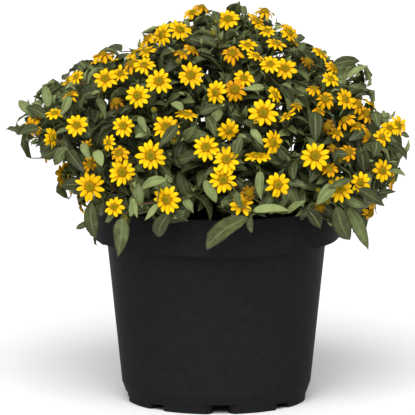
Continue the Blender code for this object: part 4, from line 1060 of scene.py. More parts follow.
@dataclass
class Canopy:
    """Adds the leaves and leafy shoots that close the mound between the flowers.

    Edge shoots come on top of the others where the front view shows the mound's edge.
    """

    # What starts the draws of a stem's pairs, their places, lengths and leans, and their paleness
    STALK_LEAVES = (
        ("leaves under head", (0.87,), (10.0, 16.0), (0.3, 0.9), 0.45),
        ("leaves along", (0.38, 0.55, 0.7), (15.0, 24.0), (0.1, 0.7), 0.3),
    )

    plant: PackedPlant
    shoots: int = 1000
    shoot_band: Span = (0.985, -0.34)
    shoot_start: float = 0.2
    depths: Span = (1.0, 34.0)
    edge_shoots: int = 900
    edge_band: Span = (0.998, 0.1)
    edge_start: float = 1.3
    edge_depths: Span = (-1.0, 12.0)
    edge_slant: float = 0.6

    # How a shoot forks off and runs
    fork_from: float = 0.25
    fork_step: float = 0.07
    fork_steps: int = 10
    reach: Span = (12.0, 52.0)
    refusal: float = 100.0
    least_rise: float = 0.4
    strays: tuple[Span, ...] = ((-1.0, 1.0), (-1.0, 1.0), (-0.5, 0.8))
    face_pull: float = 0.7
    pull: float = 0.5
    slack: float = 0.36
    shoot_radii: Floats = (0.85, 0.8, 0.75, 0.7, 0.6)

    # The pairs of a shoot, from its tip: place, length, lean along it, and extra paleness
    pairs: tuple[Floats, ...] = (
        (1.0, 7.5, 1.1, 0.3), (0.97, 14.5, 0.75, 0.1), (0.78, 19.0, 0.45, 0.0),
        (0.5, 20.0, 0.3, -0.05),
    )
    pair_sizes: Span = (0.8, 1.2)
    pair_lean: float = 0.2
    share_stray: float = 0.04
    young: float = 0.16
    young_paleness: Span = (0.6, 0.95)
    old_paleness: Span = (0.15, 0.5)

    # A leaf
    spins: Floats = (0.0, 0.5, -0.5, 1.0, -1.0)
    widths: Span = (0.4, 0.58)
    curls: Span = (0.03, 0.18)
    lean_stray: float = 0.15
    sizes: Span = (0.88, 1.08)
    light_up: float = 0.35
    light_out: float = 0.25
    pale_stray: float = 0.12

    # Where it may lie
    outside: float = 0.1
    pot_clearance: float = 88.5
    inside_pot: float = 78.0
    lowest_inside: float = 131.0
    rim: float = 143.0
    over_face: Span = (0.5, 22.0)
    face_share: float = 0.75

    def grow(self) -> None:
        """Add all of it to the plant's stalks."""
        heads = [stalk.head for stalk in self.plant.stalks if stalk.head]
        self.outlook = FrontOutlook(heads)
        self.places = np.array([head.place for head in heads])
        self.faces = np.array([head.face for head in heads])
        self.radii = np.array([head.radius for head in heads])
        self.room = Room()
        for head in heads:
            self.room.take(head_samples(head))
        for stalk in self.plant.stalks:
            for leaf in stalk.leaves:
                self.room.take(leaf_samples(leaf))
        for plan in self.STALK_LEAVES:
            self.add_stalk_leaves(*plan)
        self.add_shoots()

    def fits(self, leaf: Leaf) -> bool:
        """Whether a leaf lies free, inside the mound, off the pot and off the flowers.

        Args:
            leaf: The leaf.

        Returns:
            True if it does.
        """
        points = leaf_samples(leaf)
        heights = points[:, 2]
        girths = np.hypot(points[:, 0], points[:, 1])
        within = girths <= self.inside_pot
        in_pot = within & (heights < self.lowest_inside)
        in_wall = ~within & (girths < self.pot_clearance) & (heights < self.rim)
        if (in_pot | in_wall).any() or MOUND.excess(np.array(leaf.tip)) > self.outside:
            return False
        if not self.outlook.keeps_outline(points) or self.outlook.hides_bloom(points):
            return False
        over = points[:, None, :] - self.places[None]
        rise = (over * self.faces[None]).sum(2)
        aside = np.linalg.norm(over - rise[:, :, None] * self.faces[None], axis=2)
        before = (rise > self.over_face[0]) & (rise < self.over_face[1])
        hiding = before & (aside < self.face_share * self.radii)
        return not hiding.any() and self.room.is_free(points)

    def add_pair(self, stalk: Stalk, root: Vector, along: Vector, out: Vector, length: float,
                 forward: float, paleness: float, rng: random.Random) -> bool:
        """Add a pair of opposite leaves where at least one of the two fits.

        Args:
            stalk: Their stalk.
            root: Where they stand.
            along: The stalk's direction there.
            out: The way that the first one leans, square to the stalk.
            length: Their length.
            forward: Their lean along the stalk, in radians.
            paleness: Their paleness.
            rng: Their draws.

        Returns:
            Whether a leaf was added.
        """
        width = length * rng.uniform(*self.widths)
        curl = rng.uniform(*self.curls)
        for spin in self.spins:
            across = swung(out, along.cross(out), spin)
            added = False
            for side in (across, -across):
                lean = forward + rng.uniform(-self.lean_stray, self.lean_stray)
                size = length * rng.uniform(*self.sizes)
                way, light = leaning(side, along, lean)
                light = light + UP * self.light_up + MOUND.normal(root) * self.light_out
                light = (light - way * light.dot(way)).normalized()
                stray = rng.uniform(-self.pale_stray, self.pale_stray)
                leaf = Leaf(root, root + way * size, light, width * size / length, curl * size,
                            min(1.0, max(0.0, paleness + stray)))
                if self.fits(leaf):
                    self.room.take(leaf_samples(leaf))
                    stalk.leaves.append(leaf)
                    added = True
            if added:
                return True
        return False

    def add_stalk_leaves(self, label: str, shares: Floats, lengths: Span, leans: Span,
                         paleness: float) -> None:
        """Add pairs of leaves along the stems and twigs, each pair square to the one below.

        Args:
            label: What starts the draws of each.
            shares: Where on a stalk the pairs stand.
            lengths: The least and the greatest length.
            leans: The least and the greatest lean along the stalk, in radians.
            paleness: Their paleness.
        """
        for number, stalk in enumerate(self.plant.stalks):
            if stalk.head:
                rng = random.Random(f"{label} {number}")
                out = self.square_to(along_path(stalk.path, 0.5)[1], rng)
                for share in shares:
                    share += rng.uniform(-self.share_stray, self.share_stray)
                    root, along = along_path(stalk.path, share)
                    out = along.cross(out).normalized()
                    length, lean = rng.uniform(*lengths), rng.uniform(*leans)
                    self.add_pair(stalk, root, along, out, length, lean, paleness, rng)

    def square_to(self, along: Vector, rng: random.Random) -> Vector:
        """A direction square to a stalk, turned at random."""
        return Matrix.Rotation(rng.uniform(0.0, math.tau), 3, along) @ sideways(along)

    def add_shoots(self) -> None:
        """Leafy shoots that fork from the nearest stems and end all over the mound."""
        forks = [(*along_path(stalk.path, self.fork_from + self.fork_step * step), stalk)
                 for stalk in self.plant.stalks if stalk.head for step in range(self.fork_steps)]
        grid = np.array([fork[0] for fork in forks])
        added = 0
        ways = golden_ways(self.shoots, *self.shoot_band, self.shoot_start)
        plans = [(out, self.depths) for out in ways]
        ways = golden_ways(self.edge_shoots, *self.edge_band, self.edge_start)
        plans += [(out, self.edge_depths) for out in ways
                  if abs(out.dot(VIEW.near)) < self.edge_slant]
        for number, (out, depths) in enumerate(plans):
            rng = random.Random(f"shoot {number}")
            end = MOUND.meet(CROWN, out) - out * rng.uniform(*depths)
            away = np.array(end) - grid
            gaps = np.linalg.norm(away, axis=1)
            low = away @ np.array(out) < self.least_rise * gaps
            cost = gaps + self.refusal * (gaps < self.reach[0]) + self.refusal * low
            choice = int(cost.argmin())
            if cost[choice] <= self.reach[1]:
                added += self.add_shoot(*forks[choice], end, out, rng)
        log.info("Leafy shoots between the flowers: %d", added)

    def add_shoot(self, start: Vector, flow: Vector, parent: Stalk, end: Vector, out: Vector,
                  rng: random.Random) -> bool:
        """Add one leafy shoot, if any of its leaves fits.

        Args:
            start: Where it forks off.
            flow: Its parent's direction there.
            parent: The stalk that it forks from.
            end: Where it ends.
            out: The way out from the crown.
            rng: Its draws.

        Returns:
            Whether it was added.
        """
        stray = drawn(rng, self.strays)
        arrive = MOUND.normal(end) * self.face_pull + out * self.pull + stray * self.pull
        arrive = arrive.normalized()
        leave = (flow * self.pull + (end - start).normalized()).normalized()
        bow = bow_between(start, leave, end, arrive, self.slack)
        steps = len(self.shoot_radii)
        path = [bow_point(bow, step / steps) for step in range(steps + 1)]
        if not self.outlook.keeps_outline(np.array(path[2:])):
            return False
        shoot = Stalk(parent.owner, path, list(self.shoot_radii))
        across = self.square_to(arrive, rng)
        young = rng.random() < self.young
        base = rng.uniform(*(self.young_paleness if young else self.old_paleness))
        reached = 0.0
        for share, length, lean, extra in self.pairs:
            root, along = along_path(path, share)
            across = along.cross(across).normalized()
            length = length * rng.uniform(*self.pair_sizes)
            lean = lean + rng.uniform(-self.pair_lean, self.pair_lean)
            if self.add_pair(shoot, root, along, across, length, lean, base + extra, rng):
                reached = max(reached, share)
        if shoot.leaves:
            shoot.path = [bow_point(bow, reached * step / steps) for step in range(steps + 1)]
            self.plant.stalks.append(shoot)
        return bool(shoot.leaves)


def walls(grid: Array) -> Array:
    """The faces between rings of points, which are numbered one ring a row, band by band."""
    after = np.roll(grid, -1, axis=1)
    return np.stack([grid[:-1], after[:-1], after[1:], grid[1:]], 2)


@lru_cache(maxsize=None)
def blade_faces(rows: int, columns: int) -> tuple[Array, Array]:
    """How the faces of a closed blade join its points.

    The upper side's points come first, row by row, then the lower side's inside its edge.

    Args:
        rows: How many rows of points there are.
        columns: How many points a row has.

    Returns:
        The upper and the lower faces, four corners each.
    """
    top = np.arange(rows * columns).reshape(rows, columns)
    low = top.copy()
    inner = (rows - 2) * (columns - 2)
    low[1:-1, 1:-1] = (rows * columns + np.arange(inner)).reshape(rows - 2, columns - 2)
    upper = np.stack([top[:-1, :-1], top[:-1, 1:], top[1:, 1:], top[1:, :-1]], 2).reshape(-1, 4)
    lower = np.stack([low[:-1, :-1], low[1:, :-1], low[1:, 1:], low[:-1, 1:]], 2).reshape(-1, 4)
    return upper, lower


@dataclass(frozen=True)
class BladeForm:
    """The outline and relief of one kind of blade.

    rise and taper shape the outline. narrow holds the least width at the root and the tip, as
    shares. fold lifts the edges, groove sinks the rib, and corner and notch shape the tip.
    """

    FOLD_CURVE = 1.4
    WAVES = 14.0
    END_SLOPE = 6.0
    RIB_WIDTH = 0.17
    RIB_FADE = 0.6

    rows: Floats
    columns: Floats
    rise: float
    taper: float
    narrow: Span
    thickness: float
    fold: float
    groove: float = 0.0
    ridges: float = 0.0
    corner: float = 0.0
    notch: float = 0.0

    def points(self, leaf: Leaf, bend: float = 0.0, twist: float = 0.0, wave: float = 0.0,
               phase: float = 0.0, hook: float = 0.0) -> tuple[Array, Array]:
        """The points of a blade and the place of each on it.

        Args:
            leaf: Its root, tip, upper side, width and arch.
            bend: How far it bows sideways.
            twist: How far its tip is turned, in radians.
            wave: How far its edges wave, as a share of the half width.
            phase: Where the waves start.
            hook: How far the tip curls up.

        Returns:
            The points, and the place of each across and along the blade.
        """
        s = np.array(self.rows)[:, None, None]
        t = np.array(self.columns)[None, :, None]
        way = np.array(leaf.tip - leaf.root)
        length = float(np.linalg.norm(way))
        along = way / length
        up = np.array(leaf.light)
        up = up - along * (up @ along)
        up = up / np.linalg.norm(up)
        side = np.cross(along, up)
        swell = 4.0 * s * (1.0 - s)
        rise = leaf.arch * swell + hook * s ** 3
        centre = np.array(leaf.root) + way * s + up * rise + side * (bend * swell)
        slope = 4.0 * (1.0 - 2.0 * s) / length
        climb = leaf.arch * slope + 3.0 * hook * s * s / length
        tangent = along + up * climb + side * (bend * slope)
        tangent = tangent / np.linalg.norm(tangent, axis=2, keepdims=True)
        normal = up - tangent * (tangent * up).sum(2, keepdims=True)
        normal = normal / np.linalg.norm(normal, axis=2, keepdims=True)
        across = np.cross(tangent, normal)
        turn = twist * s
        normal, across = (normal * np.cos(turn) + across * np.sin(turn),
                          across * np.cos(turn) - normal * np.sin(turn))
        peak = self.rise / (self.rise + self.taper)
        wide = (s / peak) ** self.rise * ((1.0 - s) / (1.0 - peak)) ** self.taper
        least = self.narrow[0] + (self.narrow[1] - self.narrow[0]) * s
        half = 0.5 * leaf.width * np.maximum(wide, least)
        back = (self.corner * np.abs(t) ** 3 + self.notch * (1.0 - np.abs(t)) ** 2) * s ** 4
        waves = wave * t * t * np.sin(self.WAVES * s + phase + np.sign(t))
        lift = half * (self.fold * np.abs(t) ** self.FOLD_CURVE + waves)
        sheet = centre + across * (half * t) + normal * lift - tangent * (length * back)
        ends = np.minimum(1.0, self.END_SLOPE * np.minimum(s, 1.0 - s))
        body = 0.5 * self.thickness * (1.0 - t * t) * ends
        rib = self.groove * np.exp(-(t / self.RIB_WIDTH) ** 2) * ends * (1.0 - self.RIB_FADE * s)
        relief = self.ridges * np.cos(math.tau * t) * ends
        upper = sheet + normal * (body - rib + relief)
        lower = sheet - normal * (body + rib)
        grid = np.stack(np.broadcast_arrays(t[..., 0], s[..., 0]), 2)
        return tuple(np.concatenate([over.reshape(-1, size), under[1:-1, 1:-1].reshape(-1, size)])
                     for over, under, size in ((upper, lower, 3), (grid, grid, 2)))


@dataclass
class Bundle:
    """Gathers the points and faces of one piece, with the place of each point on its blade."""

    points: list[Array] = field(default_factory=list)
    grains: list[Array] = field(default_factory=list)
    faces: list[Array] = field(default_factory=list)
    slots: list[Array] = field(default_factory=list)
    count: int = 0

    def add(self, points: Array, places: Array, tone: float, luck: float,
            faces: Iterable[tuple[Array, int]]) -> None:
        """Add a closed form.

        Args:
            points: Its points, one a row.
            places: The place of each across and along the form.
            tone: How pale or how old it is.
            luck: Its own number from 0 to 1.
            faces: Arrays of faces with their finish.
        """
        extra = np.broadcast_to(np.array([tone, luck]), (len(points), 2))
        self.points.append(points)
        self.grains.append(np.concatenate([places, extra], 1))
        for corners, slot in faces:
            self.faces.append(corners + self.count)
            self.slots.append(np.full(len(corners), int(slot)))
        self.count += len(points)

    def add_blade(self, form: BladeForm, leaf: Leaf, upper: Slot, lower: Slot, luck: float,
                  **relief: float) -> None:
        """Add a closed blade: its kind, its place, the finish of each side and its relief."""
        faces = zip(blade_faces(len(form.rows), len(form.columns)), (upper, lower))
        self.add(*form.points(leaf, **relief), leaf.paleness, luck, faces)

    def add_rings(self, rings: Sequence[Sequence[Vector]], luck: float, slot: int = 0) -> None:
        """Add a closed form with flat ends.

        Args:
            rings: The points of each ring, which turn the same way.
            luck: Its own number from 0 to 1.
            slot: Its finish.
        """
        points = np.array(rings)
        grid = np.arange(points.size // 3).reshape(len(rings), -1)
        faces = [(walls(grid).reshape(-1, 4), slot), (grid[:1, ::-1], slot), (grid[-1:], slot)]
        self.add(points.reshape(-1, 3), np.zeros((grid.size, 2)), 0.5, luck, faces)

    def add_turned(self, place: Vector, axis: Vector, profile: Sequence[Span], sides: int,
                   tone: float = 0.5, luck: float = 1.0, slots: Sequence[int] = (),
                   share: Optional[float] = None) -> None:
        """Add a closed turned form.

        Args:
            place: Where the profile's heights start.
            axis: The axis.
            profile: Radii and heights; the first and last lie on the axis.
            sides: How many sides it has.
            tone: How old it is.
            luck: Its own number from 0 to 1.
            slots: The finish of each band of the profile.
            share: A floret's place from the middle of its disc to the edge.
        """
        u, n = np.array(sideways(axis)), np.array(axis)
        turns = np.arange(sides)[:, None] * math.tau / sides
        rim = np.cos(turns) * u + np.sin(turns) * np.cross(n, u)
        radii, heights = np.array(profile, float).T
        rows = np.repeat(np.arange(len(radii)), [1] + [sides] * (len(radii) - 2) + [1])
        rims = np.concatenate([rim[:1], np.tile(rim, (len(radii) - 2, 1)), rim[:1]])
        points = np.array(place) + rims * radii[rows, None] + n * heights[rows, None]
        grid = 1 + np.arange(len(points) - 2).reshape(-1, sides)
        after = np.roll(grid, -1, axis=1)
        foot = np.stack([np.zeros(sides, int), after[0], grid[0]], 1)
        tip = np.stack([grid[-1], after[-1], np.full(sides, len(points) - 1)], 1)
        places = np.stack([np.zeros(len(radii)), radii / radii.max()], 1)
        if share is not None:
            rise = (heights - heights[0]) / (heights[-1] - heights[0])
            places = np.stack([rise, np.full(len(radii), share)], 1)
        bands = [foot, *walls(grid), tip]
        self.add(points, places[rows], tone, luck, zip(bands, slots or [0] * len(bands)))

    def mesh_object(self, name: str, materials: Sequence[Material]) -> bpy.types.Object:
        """Make the piece.

        Args:
            name: Its name.
            materials: The material of each finish.

        Returns:
            The new object.
        """
        mesh = bpy.data.meshes.new(name)
        points = np.concatenate(self.points) * METRE
        faces = [face for part in self.faces for face in part.tolist()]
        mesh.from_pydata(points.tolist(), [], faces, shade_flat=False)
        mesh.polygons.foreach_set("material_index", np.concatenate(self.slots).astype(np.int32))
        grain = np.concatenate(self.grains).astype(np.float32)
        places = mesh.attributes.new("place", "FLOAT_VECTOR", "POINT")
        places.data.foreach_set("vector", grain[:, :3].ravel())
        luck = mesh.attributes.new("luck", "FLOAT", "POINT")
        luck.data.foreach_set("value", grain[:, 3].copy())
        mesh.shade_smooth()
        for material in materials:
            mesh.materials.append(material)
        piece = bpy.data.objects.new(name, mesh)
        bpy.context.scene.collection.objects.link(piece)
        return piece


MAIN_LEAF = BladeForm(
    rows=(0.0, 0.08, 0.2, 0.36, 0.53, 0.7, 0.84, 0.94, 1.0),
    columns=(-1.0, -0.62, -0.26, 0.0, 0.26, 0.62, 1.0),
    rise=0.66, taper=1.0, narrow=(0.12, 0.02), thickness=0.5, fold=0.3, groove=0.2,
)
SMALL_LEAF = BladeForm(
    rows=(0.0, 0.1, 0.28, 0.5, 0.72, 0.9, 1.0),
    columns=(-1.0, -0.5, 0.0, 0.5, 1.0),
    rise=0.66, taper=1.0, narrow=(0.13, 0.03), thickness=0.45, fold=0.32, groove=0.2,
)
RAY_BLADE = BladeForm(
    rows=(0.0, 0.3, 0.6, 0.82, 0.94, 1.0),
    columns=(-1.0, -0.5, 0.0, 0.5, 1.0),
    rise=0.45, taper=0.52, narrow=(0.6, 0.32), thickness=0.35, fold=0.14,
    ridges=0.08, corner=0.07, notch=0.03,
)
BRACT_BLADE = BladeForm(
    rows=(0.0, 0.4, 0.75, 1.0),
    columns=(-1.0, 0.0, 1.0),
    rise=0.5, taper=0.6, narrow=(0.5, 0.15), thickness=0.4, fold=-0.1,
)


@dataclass(frozen=True)
class HeadForm:
    """What an open flower head looks like at one age; the lengths are shares of its radius.

    age runs from 0, fresh, to 1, faded. tones are the least and the greatest age of its florets,
    and rays the fewest and the most rays; without them all florets are old and the rays are few.
    """

    age: float
    disc: float
    dome: float
    inner: float
    outer: float
    droop: float
    bract_tip: float
    slot: Slot = Slot.RAY
    tones: Optional[Span] = None
    rays: Optional[tuple[int, int]] = None
    few_rays: int = 8


HEAD_FORMS = {
    FRESH: HeadForm(0.0, 0.33, 0.25, 0.24, 1.0, 0.06, 0.55, tones=(0.0, 0.3), rays=(9, 12)),
    OLD: HeadForm(0.65, 0.4, 0.34, 0.28, 1.0, 0.34, 0.55, tones=(0.3, 0.8), rays=(8, 11)),
    FADED: HeadForm(1.0, 0.5, 0.5, 0.42, 0.92, 0.4, 0.66, Slot.WITHERED),
}


@dataclass
class Bloom:
    """A flower head: rays, bracts and a disc of florets on a green cup."""

    # Profiles as radii and heights: a floret's in its own size, a cup's and a bud's with the
    # radius as a share of the widest, and the height as a share of the part above the rays
    FLORET = ((0.0, -0.6), (1.0, -0.6), (0.85, 0.66), (0.0, 1.1))
    DOME = ((1.02, 0.25), (0.82, 0.72), (0.45, 0.95), (0.0, 1.0))
    BUD_TOP = ((0.8, 0.5), (0.4, 0.88), (0.0, 1.0))
    SIDES = 12
    LEAST_DOME = 1.2
    MOST_DOME = 0.9
    DOME_CURVE = 2.4
    BUD_TONE = 0.3

    # How many florets a disc has, by the diameter that the head stays under
    FLORETS = ((13.0, 26), (18.0, 38), (math.inf, 48))
    FADED_FLORETS = 44
    FLORET_SIDES = 5
    FLORET_SIZE = 0.88
    FLORET_GROWTH = (0.85, 0.3)
    FLORET_LEAN = 0.75
    LEAN_CURVE = 1.6

    # Rays lie in two levels by turns; what a draw spans follows, in shares or in radians
    RAY_LEVELS = (-0.2, 0.25)
    RAY_LIFT = 0.35
    FIRST_RAYS = 3.0
    RAYS_PER_SIZE = 0.42
    WIDEST_RAY = 0.42
    RAY_COVER = 4.2
    COUNT_STRAY = 1.2
    AGES = (-0.2, 0.3)
    STEP_STRAY = 0.2
    DROOP_STRAY = 0.12
    REACHES = (0.86, 1.05)
    SWING = 0.05
    WIDTHS = (0.88, 1.12)
    ARCHES = (0.03, 0.08)
    BEND = 0.04
    TWIST = 0.4
    OLD_UNREST = 1.5
    OLD_ARCH = 1.2

    BRACTS = 8
    FADED_BRACTS = 7

    head: Head
    rng: random.Random
    bundle: Bundle

    def __post_init__(self) -> None:
        """Note the head's own directions."""
        self.u = sideways(self.head.face)
        self.v = self.head.face.cross(self.u)

    def spoke(self, angle: float) -> Vector:
        """The direction in the head's plane at an angle."""
        return swung(self.u, self.v, angle)

    def at(self, angle: float, reach: float, rise: float) -> Vector:
        """A point by its angle, its reach as a share of the radius, and its rise."""
        radius = self.head.radius
        return self.head.place + self.spoke(angle) * (radius * reach) + self.head.face * rise

    def stray(self, most: float) -> float:
        """A number drawn evenly to both sides of zero."""
        return self.rng.uniform(-most, most)

    def build(self) -> None:
        """Add the whole head to its piece."""
        form = HEAD_FORMS.get(self.head.age)
        if form:
            self.add_cup(form)
            self.add_rays(form)
            self.add_bracts(turn=0.5, foot=(0.12, -2.0), tip=(form.bract_tip, -0.9), width=0.34,
                            arch=0.12)
        else:
            self.add_bud()

    def ray_count(self, fewest: int, most: int) -> int:
        """How many rays the head has, by its size."""
        count = self.head.diameter * self.RAYS_PER_SIZE + self.FIRST_RAYS
        return max(fewest, min(most, round(count + self.stray(self.COUNT_STRAY))))

    def add_rays(self, form: HeadForm) -> None:
        """Add the rays.

        Args:
            form: The looks of a head of this age.
        """
        radius = self.head.radius
        count = self.ray_count(*form.rays) if form.rays else form.few_rays
        tone = min(1.0, max(0.0, form.age + self.rng.uniform(*self.AGES)))
        unrest = 1.0 + self.OLD_UNREST * form.age
        for ray in range(count):
            angle = self.head.turn + math.tau * (ray + self.stray(self.STEP_STRAY)) / count
            level = self.RAY_LEVELS[ray % 2]
            fall = radius * (form.droop + self.stray(self.DROOP_STRAY) * unrest)
            reach = form.outer * self.rng.uniform(*self.REACHES)
            root = self.at(angle, form.inner, self.RAY_LIFT + level)
            tip = self.at(angle + self.stray(self.SWING), reach, level - fall)
            widest = min(self.WIDEST_RAY, self.RAY_COVER / count)
            width = radius * widest * self.rng.uniform(*self.WIDTHS)
            light = self.head.face + self.spoke(angle) * form.droop
            arch = radius * self.rng.uniform(*self.ARCHES) * (1.0 + self.OLD_ARCH * form.age)
            blade = Leaf(root, tip, light, width, arch, tone)
            bend = radius * self.stray(self.BEND)
            twist = self.stray(self.TWIST) * unrest
            self.bundle.add_blade(RAY_BLADE, blade, form.slot, form.slot, self.rng.random(),
                                  bend=bend, twist=twist)

    def add_bracts(self, turn: float, foot: Span, tip: Span, width: float, arch: float,
                   upright: bool = False) -> None:
        """Add the green bracts that hold the rays; the shares are of the head's radius.

        Args:
            turn: How far the first is turned, in steps from one to the next.
            foot: Where they start: the reach as a share, and the rise.
            tip: Where they end.
            width: Their width, as a share.
            arch: Their arch, as a share.
            upright: Whether they stand round a bud.
        """
        radius = self.head.radius
        count = self.FADED_BRACTS if self.head.age is FADED else self.BRACTS
        for bract in range(count):
            angle = self.head.turn + math.tau * (bract + turn) / count
            light = self.spoke(angle) if upright else -self.head.face
            blade = Leaf(self.at(angle, *foot), self.at(angle, *tip), light, radius * width,
                         radius * arch, 0.5)
            self.bundle.add_blade(BRACT_BLADE, blade, Slot.BRACT, Slot.BRACT, self.rng.random())

    def add_cup(self, form: HeadForm) -> None:
        """Add the green cup and the disc with its florets.

        Args:
            form: The looks of a head of this age.
        """
        head = self.head
        tone = self.rng.uniform(*form.tones) if form.tones else 1.0
        wide = head.radius * form.disc
        rise = max(self.LEAST_DOME, min(head.radius * form.dome, self.MOST_DOME * head.radius))
        profile = [
            (0.0, 0.0), (0.95, 0.1), (0.62 * wide + 0.5, 0.9), (wide, HABIT.calyx - 0.3),
            *((wide * reach, HABIT.calyx + share * rise) for reach, share in self.DOME),
        ]
        slots = [Slot.BRACT] * 3 + [Slot.DISC] * 4
        luck = self.rng.random()
        self.bundle.add_turned(head.collar(), head.face, profile, self.SIDES, tone, luck, slots)
        count = next(number for size, number in self.FLORETS if head.diameter < size)
        if head.age is FADED:
            count = self.FADED_FLORETS
        for number in range(count):
            share = math.sqrt((number + 0.5) / count)
            spoke = self.spoke(head.turn + number * GOLDEN_ANGLE)
            height = rise * (1.0 - share ** self.DOME_CURVE)
            place = head.place + spoke * (wide * share) + head.face * height
            lean = share ** self.LEAN_CURVE
            way = (head.face * (1.0 - self.FLORET_LEAN * lean) + spoke * lean).normalized()
            size = wide * self.FLORET_SIZE / math.sqrt(count)
            size = size * (self.FLORET_GROWTH[0] + self.FLORET_GROWTH[1] * share)
            floret = [(reach * size, high * size) for reach, high in self.FLORET]
            self.bundle.add_turned(place, way, floret, self.FLORET_SIDES, tone, luck,
                                   [Slot.DISC] * 3, share)

    def add_bud(self) -> None:
        """Add a closed bud: an egg of folded rays held by green bracts."""
        head = self.head
        wide = head.radius * HABIT.bud_belly
        high = head.radius * HABIT.bud_height
        profile = [
            (0.0, 0.0), (0.9, 0.1), (0.8 * wide, HABIT.calyx - 1.2), (wide, HABIT.calyx),
            *((reach * wide, HABIT.calyx + share * high) for reach, share in self.BUD_TOP),
        ]
        slots = [Slot.BRACT] * 4 + [Slot.DISC] * 2
        luck = self.rng.random()
        self.bundle.add_turned(head.collar(), head.face, profile, self.SIDES, self.BUD_TONE, luck,
                               slots)
        self.add_bracts(turn=0.0, foot=(0.4, -1.6), tip=(0.42, high * 0.72), width=0.62, arch=0.4,
                        upright=True)


@dataclass
class FloweringStem:
    """One stem with its twigs, leaves and flower heads: one living body."""

    name: str
    node: str
    stalks: list[Stalk]
    materials: list[Material]
    slimness: float = 0.68
    thinnest: float = 0.42
    leaf_stalk_taper: float = 0.75
    sides: int = 6
    stem_sides: int = 8
    path_steps: tuple[int, int] = (4, 3)
    long_path: int = 5

    # What the draws of a leaf span
    rises: Span = (0.8, 1.25)
    tapers: Span = (0.8, 1.2)
    folds: Span = (0.0, 2.3)
    young_fold: float = 0.3
    bends: Span = (-0.08, 0.08)
    main_hooks: Span = (-0.1, 0.04)
    hooks: Span = (-0.27, 0.06)
    twists: Span = (-0.6, 0.6)
    waves: Span = (0.03, 0.24)
    phases: Span = (0.0, 6.3)
    bundle: Bundle = field(default_factory=Bundle)

    def build(self) -> None:
        """Make the piece and put it in place of its node."""
        for number, stalk in enumerate(self.stalks):
            rng = random.Random(f"{self.name} {number}")
            self.add_stalk(stalk, rng)
            for leaf in stalk.leaves:
                self.add_leaf(leaf, rng)
            if stalk.head:
                Bloom(stalk.head, rng, self.bundle).build()
        piece = self.bundle.mesh_object(self.name, self.materials)
        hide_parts(self.node)
        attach(piece, BODY)
        log.info("%s: %d faces", self.name, len(piece.data.polygons))

    def add_stalk(self, stalk: Stalk, rng: random.Random) -> None:
        """Add a stem, a twig or a leaf's stalk.

        Args:
            stalk: The stalk.
            rng: Its draws.
        """
        path = smooth_path(stalk.path, self.path_steps[len(stalk.path) >= self.long_path])
        shares = np.linspace(0.0, len(stalk.radii) - 1, len(path))
        radii = np.interp(shares, np.arange(len(stalk.radii)), stalk.radii) * self.slimness
        radii = np.maximum(radii, self.thinnest)
        if not stalk.head:
            radii = radii * np.linspace(1.0, self.leaf_stalk_taper, len(path))
        ends = [*path, path[-1] * 2.0 - path[-2]]
        sides = self.stem_sides if stalk.node == HABIT.stem_node else self.sides
        rings = carried_rings(ends, list(radii), sides)
        self.bundle.add_rings(rings, rng.random(), Slot.STALK)

    def add_leaf(self, leaf: Leaf, rng: random.Random) -> None:
        """Add a leaf with its own bend, twist and wave.

        Args:
            leaf: The leaf.
            rng: Its draws.
        """
        length = (leaf.tip - leaf.root).length
        kind, hooks = (MAIN_LEAF, self.main_hooks) if leaf.main else (SMALL_LEAF, self.hooks)
        form = replace(kind, rise=kind.rise * rng.uniform(*self.rises),
                       taper=kind.taper * rng.uniform(*self.tapers),
                       fold=kind.fold * rng.uniform(*self.folds) + self.young_fold * leaf.paleness)
        bend = length * rng.uniform(*self.bends)
        hook = length * rng.uniform(*hooks)
        twist, wave = rng.uniform(*self.twists), rng.uniform(*self.waves)
        phase = rng.uniform(*self.phases)
        self.bundle.add_blade(form, leaf, Slot.LEAF, Slot.UNDERSIDE, rng.random(), bend=bend,
                              hook=hook, twist=twist, wave=wave, phase=phase)


def linear(colour: Colour) -> Floats:
    """A colour of 0 to 255 steps as light."""
    return (*(((step / 255.0 + 0.055) / 1.055) ** 2.4 for step in colour), 1.0)


